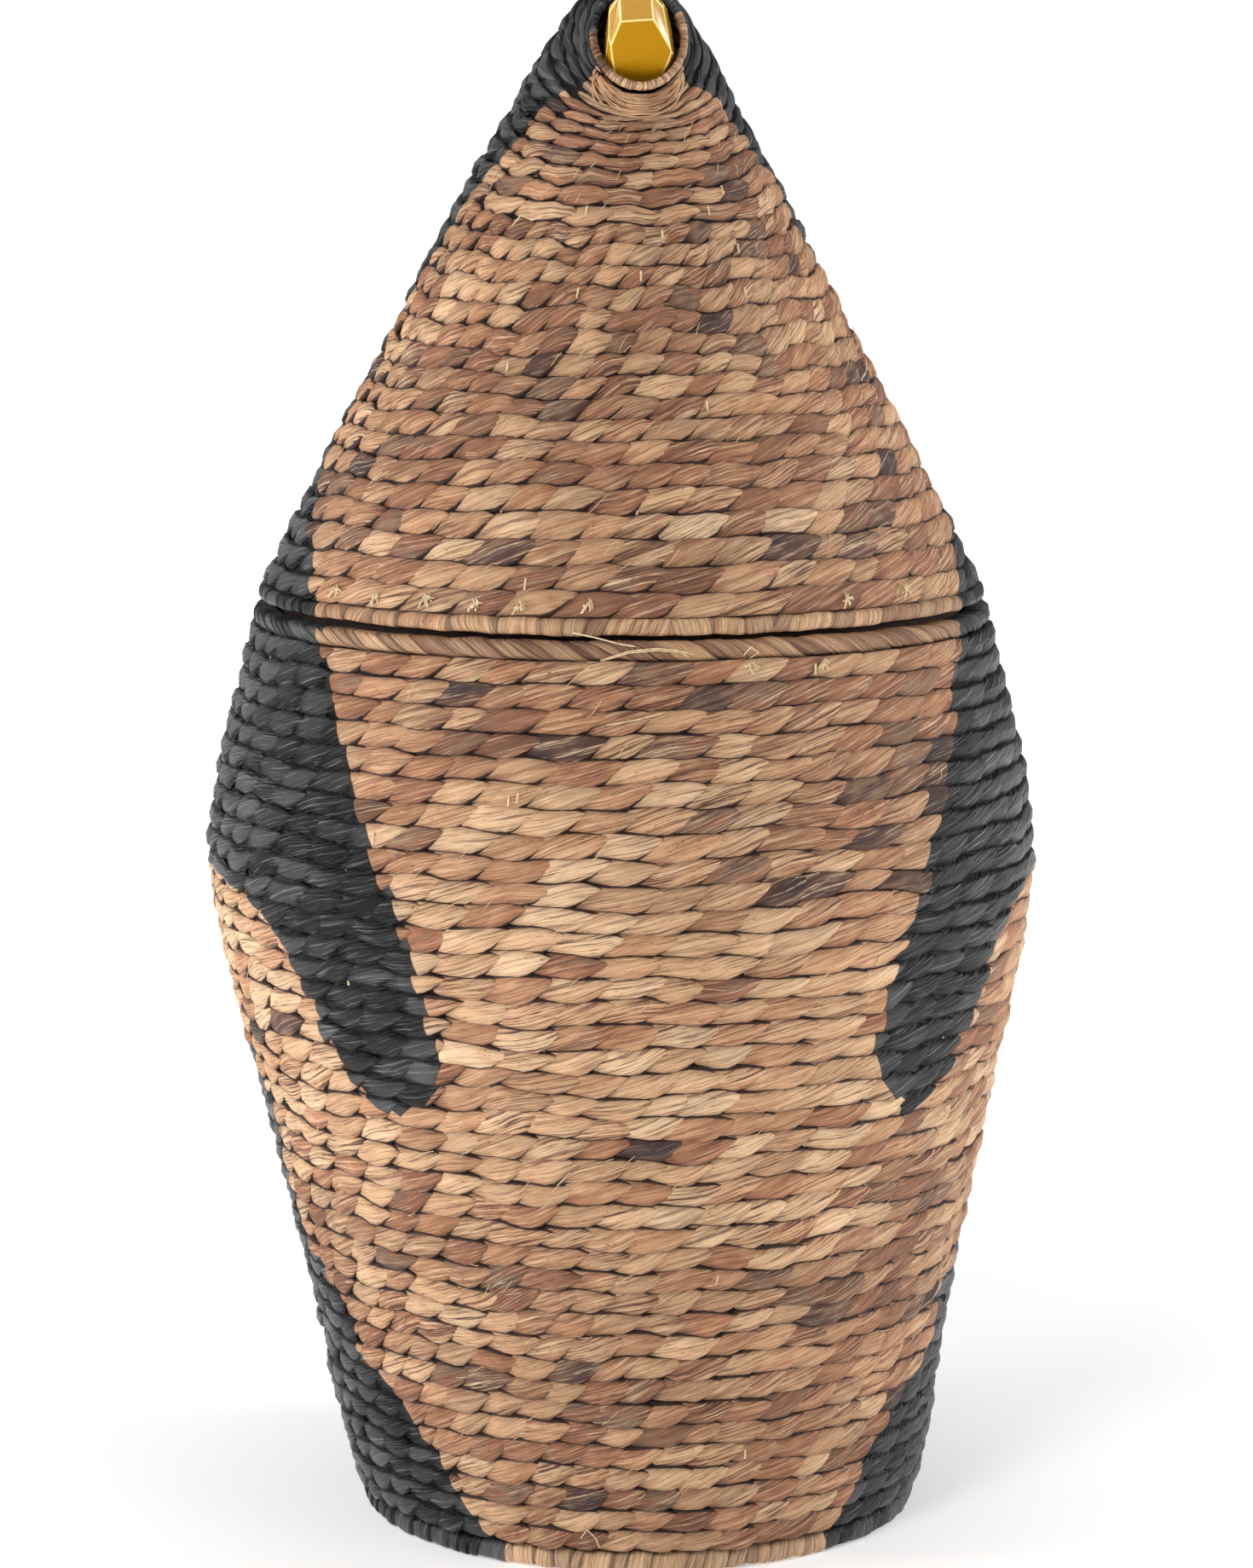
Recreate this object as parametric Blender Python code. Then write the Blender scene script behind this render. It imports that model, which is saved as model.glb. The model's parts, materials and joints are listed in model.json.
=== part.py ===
"""Twined storage basket for a child's room, with a lid that lifts off.

The basket is woven from twisted water-hyacinth strands over a bent wire frame. It bulges at
the belly, and its lid narrows to a small head that bends forwards. The head ends in a round
wrapped opening that holds a faceted wooden beak.

Metres, +Z up, the front faces -Y. The origin is on the floor, under the middle of the belly.
"""

import math

import bmesh
import bpy
import numpy as np
from mathutils import Matrix, Vector

# Rings and gaps that every piece shares
RING_STEPS = 32
SEAT_GAP = 0.0003

# Basket: outside sizes of the woven wall
BODY_HEIGHT = 0.4137
BELLY_HEIGHT = 0.300
BELLY_RADIUS = 0.1862
BODY_WALL = 0.009
RISE_UP_SHARES = (0, 0.07, 0.17, 0.31, 0.48, 0.655, 0.83, 0.94, 1)
RISE_OUT_SHARES = (0, 0.09, 0.185, 0.3, 0.48, 0.675, 0.87, 0.97, 1)
FALL_UP_SHARES = (0, 0.12, 0.38, 0.71, 0.94, 1)
FALL_IN_SHARES = (0, 0.05, 0.25, 0.65, 0.93, 1)
RISE_RING_SHARES = (0, 0.07, 0.2, 0.36, 0.52, 0.67, 0.8, 0.9)
FALL_RING_SHARES = (0, 0.18, 0.38, 0.68, 1)

# Foot ring, with the whole foot set a little to one side of the belly
FOOT_RADIUS = 0.126
FOOT_BAND = 0.010
FOOT_THICKNESS = 0.009
FOOT_WIRE = 0.004
FOOT_SHIFT = 0.0078
FOOT_SHIFT_POWER = 1.3
WALL_FLARE = 0.0022

# Floor of the basket
MAT_THICKNESS = 0.007
MAT_EDGE_ROUNDING = 0.002
CROSS_WIRE = 0.004
CROSS_FLOOR_CLEARANCE = 0.0012

# Rims of the basket and of the lid
RIM_RADIUS = 0.162
RIM_BAND = 0.0082
RIM_THICKNESS = 0.0082
RIM_WIRE = 0.003
WRAP_SLOT = 0.0012
SHOULDER_OVERHANG = 0.0035

# Wire staves and the hoop inside them
STAVE_COUNT = 8
STAVE_WIRE = 0.003
STAVE_END_SETBACK = 0.004
BELLY_HOOP_WIRE = 0.003

# Collar that drops inside the basket's rim
COLLAR_DEPTH = 0.0135
COLLAR_GRIP = 0.0062
COLLAR_THICKNESS = 0.003
COLLAR_CLEARANCE = 0.0013

# Lid: outside sizes of the woven cone
LID_INSET = 0.0016
LID_WALL = 0.008
NECK_WALL = 0.0035
THINNING_SHARE = 0.7
LID_STAVE_END_SHARE = 0.8
LID_RING_SHARES = (0, 0.08, 0.17, 0.26, 0.36, 0.46, 0.56, 0.65, 0.73, 0.8, 0.86, 0.91, 0.96, 1)
LID_SHARES = (0, 0.2, 0.367, 0.5, 0.6, 0.7, 0.8, 0.9, 1)
FRONT_IN_SHARES = (0, 0.282, 0.5, 0.675, 0.795, 0.9, 0.958, 0.985, 1)
FRONT_UP_SHARES = (0, 0.288, 0.493, 0.666, 0.78, 0.88, 0.945, 0.975, 1)
BACK_IN_SHARES = (0, 0.152, 0.29, 0.382, 0.465, 0.56, 0.675, 0.823, 1)
BACK_UP_SHARES = (0, 0.236, 0.4415, 0.6065, 0.7255, 0.839, 0.939, 1.02, 1)
SIDE_IN_SHARES = (0, 0.2245, 0.414, 0.564, 0.6676, 0.778, 0.862, 0.96, 1)

# Round opening at the end of the head
HEAD_RISE = 0.2478
HEAD_REACH = 0.039
HEAD_SHIFT = 0.0035
HOLE_HALF_WIDTH = 0.0175
HOLE_HALF_HEIGHT = 0.0205
HOLE_PITCH = math.radians(22)
HEAD_WRAP = 0.0045
HEAD_WIRE = 0.0018
HEAD_SLOT = 0.0008

# Beak: its axis starts in the opening's plane, low enough for it to lie just over the rim
BEAK_RADIUS = 0.0153
BEAK_RIM_CLEARANCE = 0.0005
BEAK_PITCH = math.radians(32)
BEAK_LENGTH = 0.046
BEAK_SHANK = 0.012
BEAK_TIER = 0.0262
BEAK_STEPS = 24
BEAK_UNDER_START = -0.0191
BEAK_UNDER_TIER = 0.0034
BEAK_UNDER_TIP = -0.0105
BEAK_TOP_START = 0.014
BEAK_TOP_TIER = 0.0116
BEAK_TOP_TIP = 0.0045
BEAK_SIDE_START = -0.004
BEAK_SIDE_TIER = 0.0117
BEAK_SIDE_TIP = 0.0018
BEAK_CORNER_START = 0.0097
BEAK_CORNER_TIER = 0.0076
BEAK_SHOULDER_START = 0.016
BEAK_SHOULDER_TIER = 0.0118
BEAK_SHOULDER_TIP = 0.004
BEAK_CORNER_ANGLE = math.radians(40)
BEAK_SKEW = math.radians(7.5)

# Bar and screw that hold the beak
BAR_THICKNESS = 0.006
BAR_HEIGHT = 0.010
BAR_END_GAP = 0.0006
SCREW_RADIUS = 0.0016
SCREW_CLEARANCE = 0.0003
SCREW_BITE = 0.009
SCREW_HEAD_RADIUS = 0.0034
SCREW_HEAD_HEIGHT = 0.0022
SCREW_STEPS = 12
CUT_OVERRUN = 0.002

# Where the black paint begins, counted from the front
BODY_COAT_ANGLE = math.radians(66)
LID_COAT_ANGLE = math.radians(62)

NATURAL = ("natural strand", (0.58, 0.38, 0.22, 1), 0.7, 0)
BLACK = ("black painted strand", (0.035, 0.036, 0.038, 1), 0.6, 0)
STRAW = ("wrapping strand", (0.60, 0.43, 0.25, 1), 0.65, 0)
WIRE = ("dark frame wire", (0.12, 0.11, 0.10, 1), 0.5, 1)
CANE = ("split cane", (0.66, 0.50, 0.31, 1), 0.55, 0)
LACQUER = ("yellow lacquer", (0.72, 0.46, 0.03, 1), 0.2, 0)
BARE_WOOD = ("bare wood", (0.55, 0.40, 0.24, 1), 0.7, 0)
ZINC = ("zinc plated steel", (0.62, 0.62, 0.60, 1), 0.35, 1)


def clear_scene():
    for obj in list(bpy.data.objects):
        bpy.data.objects.remove(obj)


def material(finish):
    """The Blender material of a finish, made the first time it is asked for."""
    name, colour, roughness, metallic = finish
    found = bpy.data.materials.get(name)
    if found:
        return found
    made = bpy.data.materials.new(name)
    made.use_nodes = True
    made.diffuse_color = colour
    shader = made.node_tree.nodes["Principled BSDF"]
    shader.inputs["Base Color"].default_value = colour
    shader.inputs["Roughness"].default_value = roughness
    shader.inputs["Metallic"].default_value = metallic
    return made


def smooth_curve(xs, ys):
    """A function whose curve runs smoothly through points and never overshoots them."""
    xs, ys = np.array(xs, float), np.array(ys, float)
    steps = np.diff(ys) / np.diff(xs)
    slopes = np.concatenate([steps[:1], np.zeros(len(steps) - 1), steps[-1:]])
    for i in range(1, len(steps)):
        before, after = steps[i - 1], steps[i]
        if before * after > 0:
            slopes[i] = 2 * before * after / (before + after)

    def value(x):
        i = int(np.clip(np.searchsorted(xs, x) - 1, 0, len(steps) - 1))
        width = xs[i + 1] - xs[i]
        t = (x - xs[i]) / width
        bend = (slopes[i] * (1 - t) - slopes[i + 1] * t) * width + steps[i] * width * (2 * t - 1)
        return float(ys[i] * (1 - t) + ys[i + 1] * t + t * (1 - t) * bend)

    return value


RISE = smooth_curve(RISE_UP_SHARES, RISE_OUT_SHARES)
FALL = smooth_curve(FALL_UP_SHARES, FALL_IN_SHARES)
FRONT_IN = smooth_curve(LID_SHARES, FRONT_IN_SHARES)
FRONT_UP = smooth_curve(LID_SHARES, FRONT_UP_SHARES)
BACK_IN = smooth_curve(LID_SHARES, BACK_IN_SHARES)
BACK_UP = smooth_curve(LID_SHARES, BACK_UP_SHARES)
SIDE_IN = smooth_curve(LID_SHARES, SIDE_IN_SHARES)

# Heights and radii that follow from the sizes above
WALL_BOTTOM = FOOT_BAND + SEAT_GAP
WALL_TOP = BODY_HEIGHT - RIM_BAND - SEAT_GAP
WALL_BOTTOM_RADIUS = FOOT_RADIUS + WALL_FLARE
WALL_TOP_RADIUS = RIM_RADIUS + SHOULDER_OVERHANG
LID_BOTTOM = BODY_HEIGHT + SEAT_GAP
CONE_BOTTOM = LID_BOTTOM + RIM_BAND + SEAT_GAP
CONE_BOTTOM_RADIUS = RIM_RADIUS - LID_INSET
RIM_INNER_RADIUS = RIM_RADIUS - RIM_THICKNESS
HOLE_NORMAL = Vector((0, -math.cos(HOLE_PITCH), math.sin(HOLE_PITCH)))
HOLE_UP = Vector((0, math.sin(HOLE_PITCH), math.cos(HOLE_PITCH)))
HOLE_CENTRE = Vector((HEAD_SHIFT, -HEAD_REACH, LID_BOTTOM + HEAD_RISE))
NECK_CENTRE = HOLE_CENTRE - HOLE_NORMAL * (HEAD_WRAP / 2 + SEAT_GAP)
NECK_HALF_WIDTH = HOLE_HALF_WIDTH + HEAD_WRAP / 2 + NECK_WALL / 2
NECK_HALF_HEIGHT = HOLE_HALF_HEIGHT + HEAD_WRAP / 2 + NECK_WALL / 2
BEAK_AXIS = Vector((0, -math.cos(BEAK_PITCH), math.sin(BEAK_PITCH)))
BEAK_START = HOLE_CENTRE - HOLE_UP * (HOLE_HALF_HEIGHT - BEAK_RADIUS - BEAK_RIM_CLEARANCE)


def lean(height):
    """How far the basket's middle is set to the side at a height, most at the foot."""
    left = max(0, 1 - height / BELLY_HEIGHT)
    return FOOT_SHIFT * left**FOOT_SHIFT_POWER


def wall_radius(height):
    """Outside radius of the basket's wall at a height."""
    if height <= BELLY_HEIGHT:
        share = (height - WALL_BOTTOM) / (BELLY_HEIGHT - WALL_BOTTOM)
        return WALL_BOTTOM_RADIUS + (BELLY_RADIUS - WALL_BOTTOM_RADIUS) * RISE(share)
    share = (height - BELLY_HEIGHT) / (WALL_TOP - BELLY_HEIGHT)
    return BELLY_RADIUS - (BELLY_RADIUS - WALL_TOP_RADIUS) * FALL(share)


def blend(low, high, share):
    return low + (high - low) * share


def lid_section(share, inset=0):
    """The lid's oval cross-section, a share of the way from its rim to the opening.

    Returns its centre, the direction from its front to its back, and its two half sizes.
    """
    neck_front = NECK_CENTRE - HOLE_UP * NECK_HALF_HEIGHT
    neck_back = NECK_CENTRE + HOLE_UP * NECK_HALF_HEIGHT
    side = HEAD_SHIFT * share**2
    front = Vector((
        side,
        blend(-CONE_BOTTOM_RADIUS, neck_front.y, FRONT_IN(share)),
        blend(CONE_BOTTOM, neck_front.z, FRONT_UP(share)),
    ))
    back = Vector((
        side,
        blend(CONE_BOTTOM_RADIUS, neck_back.y, BACK_IN(share)),
        blend(CONE_BOTTOM, neck_back.z, BACK_UP(share)),
    ))
    half_width = blend(CONE_BOTTOM_RADIUS, NECK_HALF_WIDTH, SIDE_IN(share)) - inset
    half_depth = (back - front).length / 2 - inset
    return (front + back) / 2, (back - front).normalized(), half_width, half_depth


def lid_point(share, angle, inset=0):
    """A point on the lid, an angle round from its front, an inset below its surface."""
    centre, along, half_width, half_depth = lid_section(share, inset)
    return centre + Vector((half_width * math.sin(angle), 0, 0)) - along * half_depth * math.cos(angle)


def lid_wall(share):
    """Thickness of the lid's weave, which thins towards the opening."""
    thinned = max(0, (share - THINNING_SHARE) / (1 - THINNING_SHARE))
    return blend(LID_WALL, NECK_WALL, thinned)


def finish_mesh(bm, name, finish):
    """Turns a bmesh into a named object with its faces pointing out and round sides smooth."""
    bmesh.ops.recalc_face_normals(bm, faces=bm.faces)
    if bm.calc_volume(signed=True) < 0:
        bmesh.ops.reverse_faces(bm, faces=bm.faces)
    mesh = bpy.data.meshes.new(name)
    bm.to_mesh(mesh)
    bm.free()
    mesh.shade_smooth()
    mesh.set_sharp_from_angle(angle=math.radians(35))
    mesh.materials.append(material(finish))
    obj = bpy.data.objects.new(name, mesh)
    bpy.context.collection.objects.link(obj)
    return obj


def turned(name, outline, finish, place=None):
    """A closed outline of (radius, height) points, turned once round the upright axis.

    place, if given, moves each vertex: it gets the radius, the height and the angle from the
    front, and returns the new point.
    """
    bm = bmesh.new()
    verts = [bm.verts.new((0, -radius, height)) for radius, height in outline]
    edges = [bm.edges.new(pair) for pair in zip(verts, verts[1:] + verts[:1])]
    bmesh.ops.spin(
        bm,
        geom=verts + edges,
        cent=(0, 0, 0),
        axis=(0, 0, 1),
        angle=math.tau,
        steps=RING_STEPS,
        use_merge=True,
    )
    if place:
        for vert in bm.verts:
            x, y, z = vert.co
            vert.co = place(math.hypot(x, y), z, math.atan2(x, -y))
    return finish_mesh(bm, name, finish)


def round_section(diameter, sides=6):
    """Points of a wire's cross-section, as (outward, upward) from its middle."""
    turns = [math.tau * i / sides for i in range(sides)]
    return [(diameter / 2 * math.cos(a), diameter / 2 * math.sin(a)) for a in turns]


def wrap_section(thickness, band, wire, slot):
    """Cross-section of a strand wrapped round a wire: flat above and below, with a channel that
    holds the wire and a slot on the inner side."""
    half, rise, channel, lip = thickness / 2, band / 2, wire / 2 + SEAT_GAP, slot / 2
    corner = half / 2
    mouth = half - (half - corner) * lip / rise
    outside = [(corner, rise), (-corner, rise), (-mouth, lip)]
    upper = outside + [(-channel, lip), (-channel, channel), (channel, channel)]
    lower = [(x, -z) for x, z in reversed(upper)]
    return [(half, 0)] + upper + lower


def flat_ring(name, section, radius, height, finish, side=0):
    """A level ring with a cross-section of (outward, upward) points, set to the side."""
    ring = turned(name, [(radius + out, height + up) for out, up in section], finish)
    ring.location.x = side
    return ring


def head_ring(name, section, half_width, half_height, finish):
    """An oval ring in the plane of the head's opening."""

    def place(radius, height, angle):
        toward = Vector((half_height * math.sin(angle), 0, 0)) - HOLE_UP * half_width * math.cos(angle)
        middle = Vector((half_width * math.sin(angle), 0, 0)) - HOLE_UP * half_height * math.cos(angle)
        return HOLE_CENTRE + middle + toward.normalized() * (radius - half_width) + HOLE_NORMAL * height

    return turned(name, [(half_width + out, up) for out, up in section], finish, place)


def wire_along(name, points, diameter, finish):
    """A round wire along a list of points, as a curve with filled ends."""
    curve = bpy.data.curves.new(name, "CURVE")
    curve.dimensions = "3D"
    curve.bevel_depth = diameter / 2
    curve.bevel_resolution = 1
    curve.use_fill_caps = True
    spline = curve.splines.new("POLY")
    spline.points.add(len(points) - 1)
    for place, point in zip(spline.points, points):
        place.co = (*point, 1)
    curve.materials.append(material(finish))
    obj = bpy.data.objects.new(name, curve)
    bpy.context.collection.objects.link(obj)
    return obj


def cylinder(name, radius, length, finish, steps, bevel=0):
    """A cylinder along Z that starts at its object's origin."""
    bm = bmesh.new()
    bmesh.ops.create_cone(bm, cap_ends=True, segments=steps, radius1=radius, radius2=radius, depth=length)
    bmesh.ops.translate(bm, verts=bm.verts, vec=(0, 0, length / 2))
    if bevel:
        rims = [e for e in bm.edges if abs(e.verts[0].co.z - e.verts[1].co.z) < length / 2]
        bmesh.ops.bevel(bm, geom=rims, offset=bevel, segments=1, profile=0.5, affect="EDGES")
    return finish_mesh(bm, name, finish)


def cut_away(obj, cutter):
    """Cuts one object by another, which stays as a hidden guide."""
    cutter.hide_render = True
    cutter.display_type = "WIRE"
    modifier = obj.modifiers.new("cut by " + cutter.name, "BOOLEAN")
    modifier.object = cutter
    modifier.operation = "DIFFERENCE"


def paint_back(obj, angle):
    """Gives the faces beyond an angle from the front the black paint."""
    obj.data.materials.append(material(BLACK))
    for face in obj.data.polygons:
        if math.atan2(abs(face.center.x), -face.center.y) > angle:
            face.material_index = 1


def stave_angles():
    return [math.tau * (i + 0.5) / STAVE_COUNT for i in range(STAVE_COUNT)]


def make_foot():
    """Wrapped foot ring with its hoop, the wire cross over it and the woven floor."""
    path_radius = FOOT_RADIUS - FOOT_THICKNESS / 2
    wrap = wrap_section(FOOT_THICKNESS, FOOT_BAND, FOOT_WIRE, WRAP_SLOT)
    flat_ring("foot_wrap", wrap, path_radius, FOOT_BAND / 2, STRAW, FOOT_SHIFT)
    flat_ring("foot_hoop", round_section(FOOT_WIRE), path_radius, FOOT_BAND / 2, WIRE, FOOT_SHIFT)

    reach = FOOT_RADIUS - FOOT_THICKNESS - 2 * SEAT_GAP
    cross_height = CROSS_FLOOR_CLEARANCE + CROSS_WIRE / 2
    bars = []
    for name, turn in (("base_cross", 0), ("base_cross_bar", math.pi / 2)):
        bar = cylinder(name, CROSS_WIRE / 2, 2 * reach, WIRE, SCREW_STEPS)
        tilt = Matrix.Rotation(turn, 4, "Z") @ Matrix.Rotation(math.pi / 2, 4, "Y")
        place = Matrix.Translation((FOOT_SHIFT, 0, cross_height))
        bar.matrix_world = place @ tilt @ Matrix.Translation((0, 0, -reach))
        bars.append(bar)
    cross, bar = bars
    bar.hide_render = True
    bar.display_type = "WIRE"
    weld = cross.modifiers.new("welded middle", "BOOLEAN")
    weld.object = bar
    weld.operation = "UNION"

    mat = cylinder("base_mat", reach, MAT_THICKNESS, NATURAL, RING_STEPS, MAT_EDGE_ROUNDING)
    mat.location = (FOOT_SHIFT, 0, CROSS_FLOOR_CLEARANCE + CROSS_WIRE + SEAT_GAP)


def wall_heights():
    """Heights of the basket wall's rings, from its foot to its rim."""
    rising = [blend(WALL_BOTTOM, BELLY_HEIGHT, s) for s in RISE_RING_SHARES]
    falling = [blend(BELLY_HEIGHT, WALL_TOP, s) for s in FALL_RING_SHARES]
    return rising + falling


def make_body_weave():
    """The basket's hollow wall, leaning towards its foot."""

    def place(radius, height, angle):
        return lean(height) + radius * math.sin(angle), -radius * math.cos(angle), height

    outside = [(wall_radius(h), h) for h in wall_heights()]
    inside = [(wall_radius(h) - BODY_WALL, h) for h in reversed(wall_heights())]
    paint_back(turned("body_weave", outside + inside, NATURAL, place), BODY_COAT_ANGLE)


def make_body_frame():
    """Staves against the inside of the wall, and the hoop inside them at the belly."""
    inset = BODY_WALL + SEAT_GAP + STAVE_WIRE / 2
    low, high = WALL_BOTTOM + STAVE_END_SETBACK, WALL_TOP - STAVE_END_SETBACK
    heights = [low] + [h for h in wall_heights() if low < h < high] + [high]
    for number, angle in enumerate(stave_angles(), 1):
        points = []
        for height in heights:
            radius = wall_radius(height) - inset
            points.append((lean(height) + radius * math.sin(angle), -radius * math.cos(angle), height))
        wire_along(f"body_stave_{number}", points, STAVE_WIRE, WIRE)
    belly = BELLY_RADIUS - inset - STAVE_WIRE / 2 - SEAT_GAP - BELLY_HOOP_WIRE / 2
    flat_ring("belly_hoop", round_section(BELLY_HOOP_WIRE), belly, BELLY_HEIGHT, WIRE)


def make_rims():
    """The wrapped rims of the basket and of the lid, each round its own hoop."""
    path_radius = RIM_RADIUS - RIM_THICKNESS / 2
    wrap = wrap_section(RIM_THICKNESS, RIM_BAND, RIM_WIRE, WRAP_SLOT)
    for owner, height in (("body", BODY_HEIGHT - RIM_BAND / 2), ("lid", LID_BOTTOM + RIM_BAND / 2)):
        flat_ring(owner + "_rim_wrap", wrap, path_radius, height, STRAW)
        flat_ring(owner + "_rim_hoop", round_section(RIM_WIRE), path_radius, height, WIRE)


def make_collar():
    """Split-cane collar: its upper part lies against the lid's rim, its lower part is narrower
    and drops inside the basket's rim."""
    fixed = RIM_INNER_RADIUS - SEAT_GAP
    free = RIM_INNER_RADIUS - COLLAR_CLEARANCE
    inner = free - COLLAR_THICKNESS
    section = [
        (inner, -COLLAR_DEPTH),
        (free, -COLLAR_DEPTH),
        (free, 0),
        (fixed, COLLAR_CLEARANCE),
        (fixed, COLLAR_GRIP),
        (inner, COLLAR_GRIP),
    ]
    flat_ring("lid_collar", [(r - free, z) for r, z in section], free, LID_BOTTOM, CANE)


def make_lid_weave():
    """The hollow cone that bends forwards into the head: a plain tube, bent into place."""

    def place(radius, height, angle):
        return lid_point(height / HEAD_RISE, angle, CONE_BOTTOM_RADIUS - radius)

    outside = [(CONE_BOTTOM_RADIUS, HEAD_RISE * s) for s in LID_RING_SHARES]
    inside = [(CONE_BOTTOM_RADIUS - lid_wall(s), HEAD_RISE * s) for s in reversed(LID_RING_SHARES)]
    paint_back(turned("lid_weave", outside + inside, NATURAL, place), LID_COAT_ANGLE)


def make_lid_frame():
    """Staves against the inside of the cone, from its rim to below the head."""
    low, high = STAVE_END_SETBACK / HEAD_RISE, LID_STAVE_END_SHARE
    shares = [low] + [s for s in LID_RING_SHARES if low < s < high] + [high]
    for number, angle in enumerate(stave_angles(), 1):
        points = [lid_point(s, angle, lid_wall(s) + SEAT_GAP + STAVE_WIRE / 2) for s in shares]
        wire_along(f"lid_stave_{number}", points, STAVE_WIRE, WIRE)


def make_head_rim():
    """The wrapped rim of the round opening, with its hoop."""
    half_width = HOLE_HALF_WIDTH + HEAD_WRAP / 2
    half_height = HOLE_HALF_HEIGHT + HEAD_WRAP / 2
    wrap = wrap_section(HEAD_WRAP, HEAD_WRAP, HEAD_WIRE, HEAD_SLOT)
    wire = round_section(HEAD_WIRE)
    head_ring("head_wrap", wrap, half_width, half_height, STRAW)
    head_ring("head_hoop", wire, half_width, half_height, WIRE)


def beak_frame(distance):
    """Places a piece on the beak's axis, its +Z along the axis and its +Y up."""
    up = Vector((0, math.sin(BEAK_PITCH), math.cos(BEAK_PITCH)))
    across = up.cross(BEAK_AXIS)
    turn = Matrix((across, up, BEAK_AXIS)).transposed().to_4x4()
    return Matrix.Translation(BEAK_START + BEAK_AXIS * distance) @ turn


def cut_facet(bm, angle, near, far):
    """Cuts a flat facet that faces an angle round the beak, through two (along, out) points."""
    side = Vector((math.cos(angle), math.sin(angle), 0))
    rise = far[0] - near[0]
    drop = near[1] - far[1]
    normal = (side * rise + Vector((0, 0, drop))).normalized()
    place = side * near[1] + Vector((0, 0, near[0]))
    bmesh.ops.bisect_plane(
        bm, geom=bm.verts[:] + bm.edges[:] + bm.faces[:], plane_co=place, plane_no=normal, clear_outer=True
    )
    bmesh.ops.holes_fill(bm, edges=[e for e in bm.edges if e.is_boundary])


def screw_hole(name, depth):
    """A cutter for the screw's hole that starts an overrun ahead of the surface it cuts."""
    return cylinder(name, SCREW_RADIUS + SCREW_CLEARANCE, CUT_OVERRUN + depth, WIRE, SCREW_STEPS)


def make_beak():
    """Turned blank cut by eight facets, most of them steeper towards the tip, a little askew to -X."""
    bm = bmesh.new()
    length = BEAK_LENGTH + BEAK_SHANK
    bmesh.ops.create_cone(
        bm, cap_ends=True, segments=BEAK_STEPS, radius1=BEAK_RADIUS, radius2=BEAK_RADIUS, depth=length
    )
    bmesh.ops.translate(bm, verts=bm.verts, vec=(0, 0, length / 2 - BEAK_SHANK))
    bmesh.ops.rotate(bm, verts=bm.verts, matrix=Matrix.Rotation(BEAK_SKEW, 3, "Y"))
    quarter = math.pi / 2
    flats = (
        ((-quarter,), BEAK_UNDER_START, BEAK_UNDER_TIER, BEAK_UNDER_TIP),
        ((quarter,), BEAK_TOP_START, BEAK_TOP_TIER, BEAK_TOP_TIP),
        ((0, math.pi), BEAK_SIDE_START, BEAK_SIDE_TIER, BEAK_SIDE_TIP),
        ((-BEAK_CORNER_ANGLE, BEAK_CORNER_ANGLE - math.pi), BEAK_CORNER_START, BEAK_CORNER_TIER, None),
        ((BEAK_CORNER_ANGLE, math.pi - BEAK_CORNER_ANGLE), BEAK_SHOULDER_START, BEAK_SHOULDER_TIER, BEAK_SHOULDER_TIP),
    )
    for angles, start, tier, tip in flats:
        for angle in angles:
            cut_facet(bm, angle, (start, BEAK_RADIUS), (BEAK_TIER, tier))
            if tip is not None:
                cut_facet(bm, angle, (BEAK_TIER, tier), (BEAK_LENGTH, tip))
    bmesh.ops.rotate(bm, verts=bm.verts, matrix=Matrix.Rotation(-BEAK_SKEW, 3, "Y"))
    beak = finish_mesh(bm, "beak", LACQUER)
    beak.matrix_world = beak_frame(0)

    pilot = screw_hole("beak_pilot_hole", SCREW_BITE + SCREW_CLEARANCE)
    pilot.matrix_world = beak_frame(-BEAK_SHANK - CUT_OVERRUN)
    cut_away(beak, pilot)


def inside_half_width(point):
    """Half of the room across the lid's hollow at a point on its middle plane."""
    best = None
    for step in range(1, 200):
        share = step / 200
        centre, along, half_width, half_depth = lid_section(share, lid_wall(share))
        offset = point - centre
        distance = abs(offset.y * along.z - offset.z * along.y)
        if best is None or distance < best[0]:
            depth = min(1, abs(offset.dot(along)) / half_depth)
            best = (distance, half_width * math.sqrt(1 - depth**2))
    return best[1] * math.cos(math.pi / RING_STEPS)


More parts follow.
